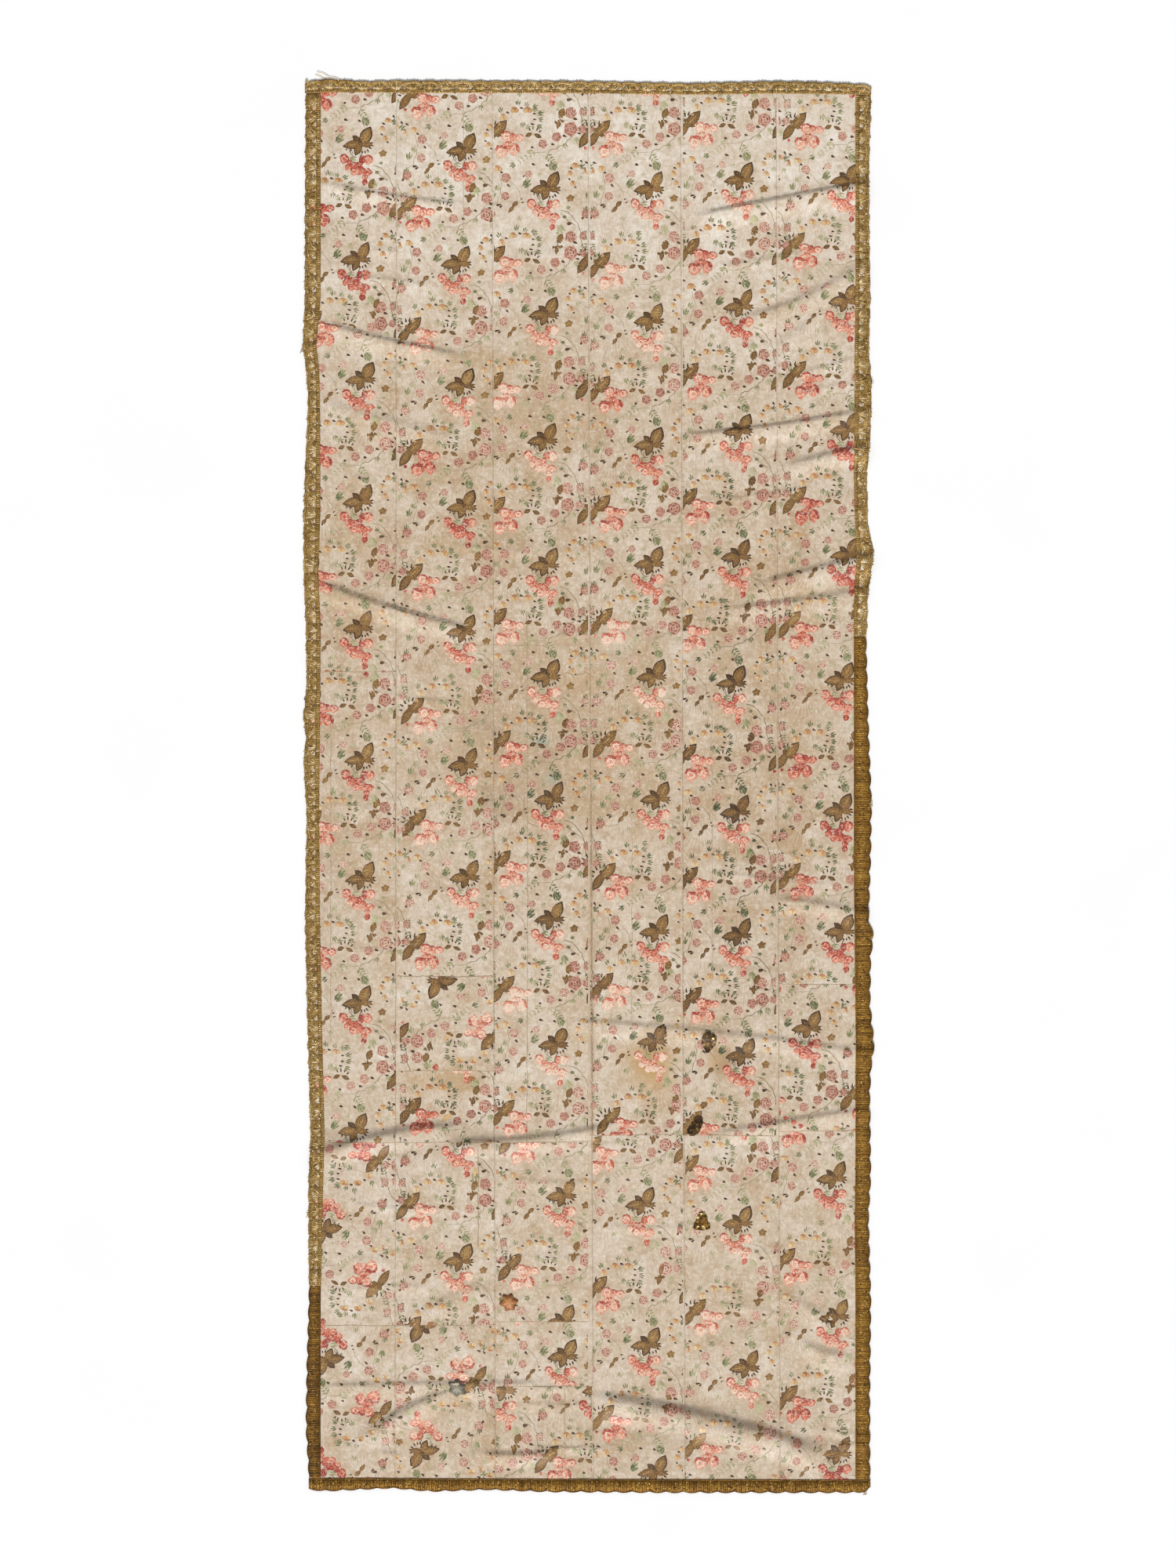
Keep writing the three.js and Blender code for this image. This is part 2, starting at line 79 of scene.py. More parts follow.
# Edges of the lace down each side: down, outer edge, inner edge
LEFT_EDGE = [
    (107, 390, 409), (235, 389, 409), (380, 388.5, 409), (443, 386, 403.5), (471, 390, 407),
    (508, 393, 408), (597, 389, 408.5), (658, 387, 408.5), (731, 387, 406), (803, 390, 409),
    (873, 391, 408.5), (916, 386.5, 408), (940, 390, 408), (970, 387, 407.5), (1042, 391, 407),
    (1172, 389, 408), (1305, 392, 410.5), (1451, 396, 414), (1515, 393, 412), (1651, 394, 409),
    (1748, 391, 409), (1821, 390, 409), (1893, 394.5, 409), (1904, 396, 409),
]
RIGHT_EDGE = [
    (107, 1108, 1091), (120, 1111, 1091), (235, 1108, 1091), (380, 1110, 1091),
    (452, 1108, 1090), (488, 1112, 1090), (559, 1110, 1089.5), (610, 1105.5, 1089),
    (670, 1107, 1090.5), (704, 1114.5, 1092.6), (767, 1106.5, 1089), (824, 1105, 1089),
    (921, 1107.7, 1089), (1026, 1112, 1089), (1091, 1111, 1089), (1172, 1108, 1089.5),
    (1194, 1115, 1090), (1220, 1111, 1090), (1281, 1110, 1091), (1333, 1115.6, 1091.4),
    (1366, 1111, 1091), (1402, 1109.6, 1091), (1500, 1111, 1091), (1554, 1108, 1090),
    (1658, 1111, 1091), (1785, 1109.6, 1091), (1904, 1110, 1091),
]
# Edges of the lace along the ends: across, outer edge, inner edge
TOP_EDGE = [
    (389, 108, 119), (396, 104, 119), (414, 101, 118), (470, 104.5, 118), (501, 103, 118.5),
    (740, 104, 119), (885, 106.7, 121), (992, 104, 119.5), (1040, 105, 120), (1103, 108, 121),
    (1111, 111, 121),
]
BOTTOM_EDGE = [
    (394, 1900, 1885), (416, 1902, 1885), (477, 1899, 1885), (501, 1898, 1885.5),
    (550, 1902.5, 1885.5), (622, 1900, 1886), (700, 1903, 1886), (850, 1904, 1886.5),
    (1000, 1904, 1887), (1094, 1904, 1887), (1104, 1902, 1887), (1110, 1896, 1887),
]
# Seams between the six widths: where each is at the top and at the bottom
SEAMS = [(506, 504), (628, 632), (750, 757), (868, 874), (990, 995)]


def edge_line(table, column):
    rows = np.array(table, dtype=float)
    return lambda place: np.interp(place, rows[:, 0], rows[:, column])


def seam_line(seam):
    top, bottom = SEAMS[seam]
    return lambda down: top + (bottom - top) * (down - 108) / (1900 - 108)


left_outer, left_inner = edge_line(LEFT_EDGE, 1), edge_line(LEFT_EDGE, 2)
right_outer, right_inner = edge_line(RIGHT_EDGE, 1), edge_line(RIGHT_EDGE, 2)
print("width at the middle in mm:", round((right_outer(1000) - left_outer(1000)) * UNIT * 1000))

# %% [markdown]
# ## How the cloth lies
#
# The main folds are the CAD's own: each is a soft ridge that runs through three places and dies
# away at both ends. Smaller creases and a slight cockling, stronger beside the seams where the
# sewing draws the silk in, are added here. One function gives the height of the silk's face
# anywhere, and every flower, stitch and thread is later laid on it.

# %% Folds and the height of the silk
# Each fold: start, middle, end, height in mm, width above and below its top in grid units
FOLDS = [
    ((398, 230), (500, 250), (600, 262), 4, 7, 15),
    ((398, 408), (484, 432), (600, 455), 6, 8, 18),
    ((400, 508), (490, 536), (590, 560), 3, 14, 22),
    ((395, 738), (484, 771), (610, 804), 7, 8, 20),
    ((880, 278), (997, 254), (1120, 232), 7, 9, 22),
    ((935, 410), (1030, 378), (1112, 330), 6, 12, 24),
    ((985, 446), (1025, 416), (1066, 378), 4, 14, 20),
    ((860, 556), (960, 547), (1110, 522), 6, 8, 18),
    ((990, 598), (1060, 580), (1125, 566), 7, 12, 18),
    ((955, 750), (1050, 724), (1125, 706), 7, 12, 22),
    ((920, 778), (1010, 768), (1112, 752), 5, 12, 20),
    ((975, 1147), (1045, 1153), (1112, 1170), 5, 12, 16),
    ((720, 1302), (900, 1316), (1112, 1344), 4, 10, 18),
    ((395, 1476), (480, 1450), (600, 1436), 9, 16, 20),
    ((560, 1456), (670, 1453), (790, 1433), 7, 12, 18),
    ((900, 1449), (1000, 1431), (1112, 1414), 5, 9, 16),
    ((500, 1690), (565, 1660), (640, 1634), 3, 14, 22),
    ((400, 1768), (490, 1766), (700, 1764), 4, 9, 20),
    ((452, 1842), (515, 1799), (590, 1768), 9, 14, 24),
    ((600, 1850), (660, 1855), (730, 1842), 6, 10, 14),
    ((985, 1648), (1045, 1676), (1080, 1704), 4, 12, 18),
    ((1010, 1700), (1045, 1722), (1096, 1728), 6, 12, 22),
]
# Folds with a rounded top
SOFT_FOLDS = [((750, 1784), (890, 1808), (1055, 1858), 11, 15, 24)]
# Lesser creases, too slight for the CAD
CREASES = [
    ((460, 315), (492, 319), (524, 324), 2.0, 5, 9),
    ((430, 598), (460, 609), (492, 620), 2.0, 5, 9),
    ((560, 1748), (590, 1751), (622, 1753), 1.6, 5, 8),
    ((462, 1848), (498, 1853), (534, 1858), 2.0, 5, 9),
    ((750, 1136), (805, 1120), (870, 1100), 1.4, 8, 14),
    ((640, 690), (700, 700), (760, 704), 0.9, 8, 12),
    ((780, 480), (840, 470), (900, 466), 1.0, 8, 14),
    ((640, 330), (700, 322), (762, 318), 0.9, 8, 12),
    ((880, 905), (940, 900), (1000, 890), 1.2, 7, 12),
    ((420, 1020), (470, 1030), (520, 1036), 1.2, 6, 12),
    ((520, 1130), (580, 1136), (640, 1138), 1.0, 7, 12),
    ((420, 1200), (480, 1212), (540, 1216), 1.2, 6, 12),
    ((880, 1228), (950, 1236), (1010, 1240), 1.2, 7, 12),
    ((650, 1598), (700, 1604), (760, 1606), 1.0, 7, 12),
    ((420, 1600), (470, 1606), (520, 1612), 1.2, 6, 12),
    ((900, 1590), (960, 1596), (1020, 1600), 1.2, 7, 12),
    ((600, 1463), (700, 1462), (800, 1456), 2.0, 4, 8),
    ((1036, 1816), (1070, 1826), (1108, 1832), 2.2, 4, 8),
    ((1044, 1840), (1078, 1842), (1110, 1838), 2.2, 4, 8),
    ((640, 1762), (690, 1769), (750, 1766), 2.0, 4, 8),
    ((650, 1785), (700, 1791), (760, 1788), 1.8, 4, 8),
    ((430, 1530), (500, 1540), (590, 1538), 1.4, 5, 9),
    ((760, 1560), (830, 1566), (900, 1560), 1.3, 5, 10),
    ((430, 1648), (500, 1640), (560, 1644), 1.5, 5, 9),
    ((900, 1660), (960, 1668), (1010, 1680), 1.8, 5, 9),
    ((880, 640), (960, 632), (1050, 618), 1.6, 5, 10),
    ((560, 690), (630, 700), (700, 704), 1.5, 5, 10),
    ((900, 340), (980, 330), (1060, 312), 1.6, 5, 10),
    ((430, 350), (490, 356), (560, 366), 1.6, 5, 10),
    ((1000, 482), (1050, 468), (1105, 452), 2.2, 4, 8),
    ((1005, 506), (1050, 495), (1105, 480), 2.0, 4, 8),
    ((470, 880), (540, 892), (600, 896), 1.4, 5, 9),
    ((900, 1110), (980, 1120), (1080, 1130), 1.6, 5, 10),
    ((640, 1500), (700, 1508), (770, 1504), 1.5, 5, 10),
    ((660, 1840), (720, 1846), (790, 1842), 2.0, 4, 8),
]
# A fold dies away over FOLD_FADE grid units at each end, and is steeper above than below
FOLD_FADE = 40.0
FOLD_TAIL = 1.35
FOLD_LIP = 0.7


def ease(share):
    kept = np.clip(share, 0, 1)
    return kept * kept * (3 - 2 * kept)


def ridge_line(start, middle, end, across):
    (ax, ay), (bx, by), (cx, cy) = start, middle, end
    return (
        ay * (across - bx) * (across - cx) / ((ax - bx) * (ax - cx))
        + by * (across - ax) * (across - cx) / ((bx - ax) * (bx - cx))
        + cy * (across - ax) * (across - bx) / ((cx - ax) * (cx - bx))
    )


def fold_height(across, down):
    place = np.clip(across, left_inner(down), right_inner(down))
    height = np.zeros_like(place)
    for fold in FOLDS + SOFT_FOLDS + CREASES:
        start, middle, end, rise, above, below = fold
        rounded = fold in SOFT_FOLDS
        lip = above if rounded else above * FOLD_LIP
        fade = min(FOLD_FADE, (end[0] - start[0]) / 2)
        ends = ease((place - start[0]) / fade) * ease((end[0] - place) / fade)
        off = down - ridge_line(start, middle, end, place)
        share = np.clip(np.abs(off) / np.where(off < 0, lip, below * FOLD_TAIL), 0, 1)
        steep = (1 - share) ** 2 * (1 + 0.6 * share)
        soft = (1 - share * share) ** 2
        ridge = rise * ends * np.where((off < 0) & (not rounded), steep, soft)
        height = np.maximum(height, ridge)
    return height / 1000


def cockle(across, down):
    """Slight unevenness of old silk, drawn in a little beside each seam."""
    broad = np.sin(down / 17 + 2.1 * np.sin(across / 41)) * np.sin(across / 29 + down / 83)
    fine = np.sin(down / 6.3 + 1.7 * np.sin(across / 13)) * np.sin(across / 9.5 + down / 31)
    small = (
        np.sin(down / 5.6 + 2.4 * np.sin(across / 33 + down / 90) + across / 14)
        * np.sin(across / 21 - down / 47 + 1.3 * np.sin(down / 60))
    )
    near_seam = np.zeros_like(across)
    for seam in range(len(SEAMS)):
        near_seam += np.exp(-(((across - seam_line(seam)(down)) / 10) ** 2))
    puckers = near_seam * np.sin(down / 3.1 + np.sin(down / 11) * 2)
    lie = 0.62 + 0.25 * broad + 0.2 * small + 0.08 * fine + 0.1 * puckers
    return np.clip(lie, 0.05, None) / 1000


def silk_face(across, down):
    across = np.asarray(across, dtype=float)
    down = np.asarray(down, dtype=float)
    return SILK_THICK + fold_height(across, down) + cockle(across, down)


print("highest fold in mm:", round(float(silk_face(890, 1808)) * 1000, 1))

# %% [markdown]
# ## Colours and nodes
#
# Colours are written as they look on screen and turned to linear light once, here. One small
# function adds any node and hands back one of its outputs. Inputs are given in their order or by
# name, each a plain value, a colour or another node's output.

# %% Colour and node helpers


def colour(hexadecimal):
    parts = [int(hexadecimal[k:k + 2], 16) / 255 for k in (1, 3, 5)]
    linear = [p / 12.92 if p <= 0.04045 else ((p + 0.055) / 1.055) ** 2.4 for p in parts]
    return (*linear, 1.0)


def new_material(name):
    material = bpy.data.materials.new(name)
    material.use_nodes = True
    return material


def set_inputs(material, node, inputs):
    for place, value in inputs.items() if isinstance(inputs, dict) else enumerate(inputs):
        if isinstance(value, bpy.types.NodeSocket):
            material.node_tree.links.new(value, node.inputs[place])
        else:
            node.inputs[place].default_value = colour(value) if isinstance(value, str) else value


def add_node(material, kind, inputs=(), stops=(), output=0, **options):
    node = material.node_tree.nodes.new(kind)
    for name, value in options.items():
        setattr(node, name, value)
    set_inputs(material, node, inputs)
    if stops:
        stops = [(position, colour(shade)) for position, shade in stops]
        line = node.color_ramp.elements
        line[0].position, line[0].color = stops[0]
        line[1].position, line[1].color = stops[-1]
        for position, shade in stops[1:-1]:
            line.new(position).color = shade
    return node.outputs[output]


def dress(material, inputs):
    """Sets what the surface itself is like."""
    set_inputs(material, material.node_tree.nodes["Principled BSDF"], inputs)


print("cream in linear light:", [round(c, 3) for c in colour("#D8C8B2")])

# %% [markdown]
# ## The silk ground
#
# The ground is a cream silk gone tan in broad patches, with fine lengthwise streaks from the
# warp. Patches of age and grime are broad, so they are stored on the mesh; the grime layer also
# holds painted shade along several folds, and a thin painted shade line runs beside each seam.
# The streaks are finer than the mesh and come from stretched noise, about 2 mm wide and 25 mm
# long. Fine painted highlights, flecks lighter than the ground that stand in for glints off its
# sheen, come from noise too. A ring such as a cup leaves is drawn by its distance from one place.
# The self-coloured figures use the same ground painted lighter, as a painted sheen.

# %% Silk ground material
RING_MIDDLE = (to_x(1006), to_y(1073), SILK_THICK)


def silk_ground(name, painted_sheen=0.0):
    silk = new_material(name)
    where = add_node(silk, "ShaderNodeTexCoord", output="Object")
    stored = {
        layer: add_node(silk, "ShaderNodeAttribute", output="Fac", attribute_name=layer)
        for layer in ("age", "yellowed", "blued", "grime_and_fold_shade", "seam")
    }
    cloud = add_node(silk, "ShaderNodeTexNoise", {"Vector": where, "Scale": 15, "Detail": 8})
    aged = add_node(silk, "ShaderNodeMath", [cloud, 1.1, stored["age"]], operation="MULTIPLY_ADD")
    base = add_node(
        silk, "ShaderNodeValToRGB", [aged],
        [(0.42, "#ECE4DA"), (0.64, "#DED0C0"), (0.94, "#D0BCA4"), (1.0, "#C8B093")],
    )
    threads = []
    for stretch, detail in (((460, 40, 1), 3), ((45, 520, 1), 2)):
        place = add_node(silk, "ShaderNodeMapping", {"Vector": where, "Scale": stretch})
        threads.append(add_node(
            silk, "ShaderNodeTexNoise", {"Vector": place, "Scale": 1, "Detail": detail}
        ))
    warp, weft = threads
    watered = add_node(
        silk, "ShaderNodeTexNoise",
        {"Vector": where, "Scale": 85, "Detail": 5, "Roughness": 0.6, "Distortion": 0.8},
    )
    for pattern, stops in (
        (warp, [(0.3, "#F4F0EA"), (0.5, "#FAF9F7"), (0.68, "#FFFFFF")]),
        (weft, [(0.3, "#F8F6F2"), (0.6, "#FFFFFF")]),
        (watered, [(0.36, "#E9E2D8"), (0.5, "#F7F4EF"), (0.62, "#FFFFFF")]),
    ):
        shade = add_node(silk, "ShaderNodeValToRGB", [pattern], stops)
        base = add_node(
            silk, "ShaderNodeMix", {0: 1.0, 6: base, 7: shade}, output=2,
            data_type="RGBA", blend_type="MULTIPLY",
        )
    # Painted highlights: where this noise is high the ground is painted lighter in fine flecks that
    # stand in for glints off the silk; where it is low the ground is mottled duller.
    glint_and_wear_noise = add_node(silk, "ShaderNodeTexNoise", {"Vector": where, "Scale": 190, "Detail": 5})
    glint = add_node(silk, "ShaderNodeMapRange", [glint_and_wear_noise, 0.5, 0.7, 0, 0.32])
    dull = add_node(silk, "ShaderNodeMapRange", [glint_and_wear_noise, 0.45, 0.32, 0, 0.3])
    from_ring = add_node(
        silk, "ShaderNodeVectorMath", [where, RING_MIDDLE], output="Value", operation="DISTANCE"
    )
    ring_inside = add_node(silk, "ShaderNodeMapRange", [from_ring, 0.0195, 0.0215, 0.5, 1])
    ring_outside = add_node(silk, "ShaderNodeMapRange", [from_ring, 0.0224, 0.0234, 0.85, 0])
    ring = add_node(silk, "ShaderNodeMath", [ring_inside, ring_outside], operation="MULTIPLY")
    # Tints over the ground: painted highlights, duller mottling, yellow and blue stains, grime with
    # painted fold shade, painted shade beside the seams, the cup ring, and a painted sheen for the
    # self-coloured figures.
    for share, tint in (
        (glint, "#F2EADE"), (dull, "#BAA78F"), (stored["yellowed"], "#C09A62"),
        (stored["blued"], "#7FA79C"), (stored["grime_and_fold_shade"], "#97826A"), (stored["seam"], "#6E5940"),
        (ring, "#AA8654"), (painted_sheen, "#FBF7F0"),
    ):
        base = add_node(
            silk, "ShaderNodeMix", {0: share, 6: base, 7: tint}, output=2, data_type="RGBA"
        )
    bump = add_node(silk, "ShaderNodeBump", {"Strength": 0.25, "Distance": 0.0004, "Height": warp})
    dress(silk, {
        "Base Color": base, "Normal": bump, "Roughness": 0.55, "Sheen Weight": 0.15,
        "Specular IOR Level": 0.35,
    })
    return silk


silk_cream = silk_ground("cream_silk_aged")
print("silk nodes:", len(silk_cream.node_tree.nodes))

# %% [markdown]
# ## The six widths of silk
#
# Each width is one grid shaped by the fold function, with its rows 3.5 mm apart so that sharp
# folds stay round, and its columns crowded towards the seams, where the sewn edge dips a little.
# It is then given the cloth's thickness. The broad stains, with painted shade along some folds
# and beside each seam, are written onto the mesh.

# %% Silk widths
SILK_ROWS = 700
SILK_COLUMNS = 17
# Tan places: across, down, spread across, spread down, strength
TAN_PLACES = [
    (700, 520, 90, 130, 0.24), (560, 540, 80, 120, 0.18), (820, 560, 60, 130, 0.10),
    (710, 650, 70, 60, -0.12), (750, 1150, 420, 340, 0.05), (960, 1130, 90, 340, 0.10),
    (1010, 1640, 90, 180, 0.08),
    (700, 950, 90, 130, 0.34), (600, 930, 60, 90, 0.24), (820, 900, 70, 110, 0.18),
    (450, 760, 60, 130, 0.25), (640, 700, 120, 90, 0.20), (960, 700, 90, 120, 0.14),
    (835, 1366, 26, 40, 0.35), (1000, 900, 90, 200, 0.16), (450, 1080, 60, 160, 0.20),
    (560, 1377, 60, 26, 0.2), (925, 1352, 22, 26, 0.2), (1040, 330, 60, 60, 0.10),
    (700, 1600, 70, 90, 0.12),
    (900, 1660, 120, 90, 0.12), (560, 1640, 60, 90, 0.08), (640, 1860, 200, 40, 0.12),
    (750, 1830, 420, 80, 0.13), (750, 1560, 420, 160, 0.04),
]
# Grimy places, and dark bands along the folds near 1450 down and 1800 to 1850 down, which are
# painted fold shade
GRIME_AND_FOLD_SHADE_PLACES = [
    (620, 925, 22, 16, 0.22), (625, 1030, 16, 22, 0.22), (479, 863, 5, 4, 0.45),
    (914, 1367, 14, 10, 0.25), (600, 1377, 14, 9, 0.25), (551, 1689, 16, 8, 0.30),
    (690, 946, 9, 9, 0.12), (755, 1100, 4, 90, 0.32), (755, 1300, 4, 120, 0.40),
    (690, 1000, 60, 50, 0.10), (862, 1000, 4, 160, 0.10), (500, 1480, 80, 8, 0.10),
    (412, 1470, 12, 16, 0.35), (470, 1446, 60, 8, 0.3), (925, 1352, 10, 22, 0.4),
    (875, 1799, 50, 9, 0.42), (945, 1817, 45, 9, 0.38), (1030, 1847, 34, 8, 0.34),
    (880, 1825, 110, 24, 0.12), (450, 1820, 44, 44, 0.10), (520, 1806, 30, 8, 0.22),
    (590, 1455, 110, 16, 0.4), (430, 1462, 30, 8, 0.3), (900, 1830, 110, 24, 0.14),
    (640, 1000, 50, 60, 0.08),
    (660, 930, 40, 20, 0.10), (970, 1150, 80, 240, 0.07),
    (420, 300, 14, 120, 0.08), (1080, 900, 12, 260, 0.08), (420, 1150, 14, 260, 0.10),
]
# Yellow and blue stains
YELLOW_PLACES = [
    (833, 1358, 26, 34, 0.9), (917, 1356, 15, 18, 0.75), (800, 1345, 20, 10, 0.3),
    (560, 1377, 50, 22, 0.25),
    (744, 868, 16, 10, 0.3), (600, 1380, 16, 12, 0.35), (551, 1689, 18, 8, 0.3),
    (674, 1040, 8, 16, 0.3), (753, 1230, 5, 200, 0.3), (785, 1035, 16, 14, 0.12),
]
BLUE_PLACES = [(690, 946, 10, 6, 0.6), (721, 946, 4, 4, 0.5), (704, 993, 8, 8, 0.45)]


def spread(places, across, down):
    total = 0.0 * across
    for middle_across, middle_down, wide, tall, strength in places:
        off = ((across - middle_across) / wide) ** 2 + ((down - middle_down) / tall) ** 2
        total += strength * np.exp(-off)
    return total


def vertex_places(mesh):
    places = np.empty(len(mesh.vertices) * 3)
    mesh.vertices.foreach_get("co", places)
    return places.reshape(-1, 3)


def write_values(mesh, name, values):
    layer = mesh.attributes.new(name, "FLOAT", "POINT")
    layer.data.foreach_set("value", np.asarray(values, dtype=np.float32))


def mesh_of(shape, name):
    """Turns a finished shape into a mesh."""
    mesh = bpy.data.meshes.new(name)
    shape.to_mesh(mesh)
    shape.free()
    return mesh


def new_piece(name, mesh, material, stands_for=None):
    piece = bpy.data.objects.new(name, mesh)
    bpy.context.scene.collection.objects.link(piece)
    mesh.materials.append(material)
    mesh.shade_smooth()
    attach(piece, "root")
    if stands_for:
        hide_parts(stands_for)
    return piece


def thicken(piece, thickness):
    """Gives a sheet its thickness, downwards from its face."""
    cloth = piece.modifiers.new("cloth_thickness", "SOLIDIFY")
    cloth.thickness = thickness
    cloth.offset = -1


def write_stains_and_fold_shade(mesh, across, down):
    long_fade = 0.16 * ease((down - 250) / 250) - 0.04 * ease((down - 1100) / 200)
    write_values(mesh, "age", 0.05 + long_fade + spread(TAN_PLACES, across, down))
    # The grime layer holds painted fold shade as well as grime.
    for name, places in (
        ("grime_and_fold_shade", GRIME_AND_FOLD_SHADE_PLACES), ("yellowed", YELLOW_PLACES), ("blued", BLUE_PLACES),
    ):
        write_values(mesh, name, spread(places, across, down))


def silk_width(number, left, right):
    shape = bmesh.new()
    bmesh.ops.create_grid(shape, x_segments=SILK_COLUMNS, y_segments=SILK_ROWS, size=1)
    mesh = mesh_of(shape, f"silk_{number}")
    places = vertex_places(mesh)
    span = (places[:, 0] - places[:, 0].min()) / np.ptp(places[:, 0])
    span = 0.5 - 0.5 * np.cos(np.pi * span) * (0.72 + 0.28 * np.abs(np.cos(np.pi * span)))
    drop = (places[:, 1].max() - places[:, 1]) / np.ptp(places[:, 1])
    down = SILK_TOP_EDGE + (SILK_BOTTOM_EDGE - SILK_TOP_EDGE) * drop
    across = left(down) + (right(down) - left(down)) * span
    to_edge = np.minimum(across - left(down), right(down) - across)
    height = silk_face(across, down) - 0.0001 * np.exp(-((to_edge / 1.3) ** 2))
    spots = np.stack([to_x(across), to_y(down), height], axis=1)
    mesh.vertices.foreach_set("co", spots.ravel())
    write_stains_and_fold_shade(mesh, across, down)
    # Painted shade: the silk is painted darker within about a grid unit of each seam, standing in
    # for the shadow in the seam's groove.
    write_values(mesh, "seam", 0.1 * np.exp(-((to_edge / 0.8) ** 2)))
    piece = new_piece(f"silk_cloth_{number}", mesh, silk_cream, f"silk_width_{number}")
    thicken(piece, SILK_THICK)
    wide = float(np.mean(right(down) - left(down))) * UNIT
    return piece


# The outer widths go on under the lace, and end this far inside its outer edge
UNDER_LACE = 3
silk_lines = [
    lambda down: left_outer(down) + UNDER_LACE,
    *(seam_line(seam) for seam in range(len(SEAMS))),
    lambda down: right_outer(down) - UNDER_LACE,
]
silk_cloths = [silk_width(k, silk_lines[k - 1], silk_lines[k]) for k in range(1, 7)]
print("silk widths:", [cloth.name for cloth in silk_cloths])

# %% [markdown]
# ## Shapes for the woven flowers
#
# A brocaded flower is a patch of floating threads, slightly raised and rounded at its edge. Each
# is a disc with two inner rings and a middle point, warped into a petal, a leaf or a drop. The
# disc is made once for each outline and then stamped thousands of times as arrays: turning,
# stretching and placing an array is quick, where an object for each leaf would be slow.

# %% Disc and band patterns


def pattern_arrays(shape):
    """Points and triangles of a finished pattern, as arrays."""
    bmesh.ops.triangulate(shape, faces=shape.faces[:])
    shape.verts.index_update()
    points = np.array([vertex.co[:] for vertex in shape.verts])
    triangles = np.array([[v.index for v in face.verts] for face in shape.faces])
    shape.free()
    return points, triangles


def disc_pattern(points, rings=(0.8, 0.42)):
    shape = bmesh.new()
    bmesh.ops.create_circle(shape, cap_ends=True, segments=points, radius=1)
    inner = shape.faces[:][0]
    size = 1.0
    for ring in rings:
        step = (size - ring) * math.cos(math.pi / points)
        bmesh.ops.inset_region(shape, faces=[inner], thickness=step)
        size = ring
    bmesh.ops.poke(shape, faces=[inner])
    if sum(face.normal.z for face in shape.faces) < 0:
        bmesh.ops.reverse_faces(shape, faces=shape.faces[:])
    return pattern_arrays(shape)


def outline_round(x, y):
    return x, y


def outline_leaf(x, y):
    """Pointed at both ends."""
    return x, y * (1 - 0.75 * x * x) * 1.1


def outline_wing(x, y):
    """A broad leaf, widest beyond its middle, with a pointed tip."""
    swell = np.where(x > 0.1, 1.06 - 0.72 * ((x - 0.1) / 0.9) ** 2, 1.06 + 0.1 * (x - 0.1))
    return x, y * np.clip(swell, 0.3, None)


def outline_lobed(x, y):
    angle = np.arctan2(y, x)
    reach = 0.84 + 0.16 * np.cos(5 * angle)
    return x * reach, y * reach


def outline_petals(x, y):
    angle = np.arctan2(y, x)
    reach = 0.88 + 0.12 * np.cos(5 * angle + 0.6)
    return x * reach, y * reach


def outline_ragged(x, y):
    angle = np.arctan2(y, x)
    reach = 0.86 + 0.1 * np.sin(3 * angle + 1) + 0.06 * np.sin(7 * angle)
    return x * reach, y * reach


def outline_drop(x, y):
    return x, y * (0.62 - 0.42 * x)


def warped(pattern, outline):
    points, triangles = pattern
    x, y = outline(points[:, 0], points[:, 1])
    centre = 1 - np.hypot(points[:, 0], points[:, 1])
    return np.stack([x, y, centre], axis=1), triangles


SHAPES = {
    "round": warped(disc_pattern(10), outline_round),
    "leaf": warped(disc_pattern(12), outline_leaf),
    "wing": warped(disc_pattern(18, (0.86, 0.5)), outline_wing),
    "lobed": warped(disc_pattern(20, (0.82, 0.45)), outline_lobed),
    "petals": warped(disc_pattern(15, (0.7, 0.35)), outline_petals),
    "ragged": warped(disc_pattern(12, (0.62,)), outline_ragged),
    "drop": warped(disc_pattern(8, (0.6,)), outline_drop),
    "petal": warped(disc_pattern(7, (0.6,)), outline_leaf),
}
print("triangles in each shape:", {k: len(v[1]) for k, v in SHAPES.items()})

# %% [markdown]
# ## One repeat of the flowered silk
#
# The silk repeats every 122 grid units across, the full width of the loom, and about every 158
# down. The chart places each flower from the heart of a trio of brown-gold leaves. A leaf is given
# by thread, shape, base and tip (across, down), width, shade from 0 dark to 1 light, and layer.
# Whatever lies over something else is one or more layers up.

# %% Chart of the repeat


def spot(thread, shape, across, down, wide, tall, shade, layer=0):
    return (thread, shape, across - wide / 2, down, across + wide / 2, down, tall, shade, layer)


def leaf(thread, shape, base, tip, width, shade, layer=0):
    return (thread, shape, *base, *tip, width, shade, layer)


def drop(from_across, from_down, to_across, to_down, width, shade):
    """A dark drop, the commonest small shape."""
    return leaf("dark", "drop", (from_across, from_down), (to_across, to_down), width, shade)


def each(make, *rows):
    """Calls one maker for each row of numbers, in order."""
    made = []
    for row in rows:
        shapes = make(*row)
        made += shapes if isinstance(shapes, list) else [shapes]
    return made


def fern(thread, start, end, length, count, shade, lean=0.6):
    """Leaflets in pairs along a line."""
    leaflets = []
    run = (end[0] - start[0], end[1] - start[1])
    size = math.hypot(*run)
    forward = (run[0] / size, run[1] / size)
    for k in range(count):
        share = (k + 0.5) / count
        here = (start[0] + run[0] * share, start[1] + run[1] * share)
        reach = length * (1 - 0.45 * share)
        for side in (1, -1):
            tip = (
                here[0] + reach * (forward[0] * lean - side * forward[1] * (1 - 0.3 * lean)),
                here[1] + reach * (forward[1] * lean + side * forward[0] * (1 - 0.3 * lean)),
            )
            leaflets.append(leaf(thread, "leaf", here, tip, reach * 0.36, shade))
    return leaflets


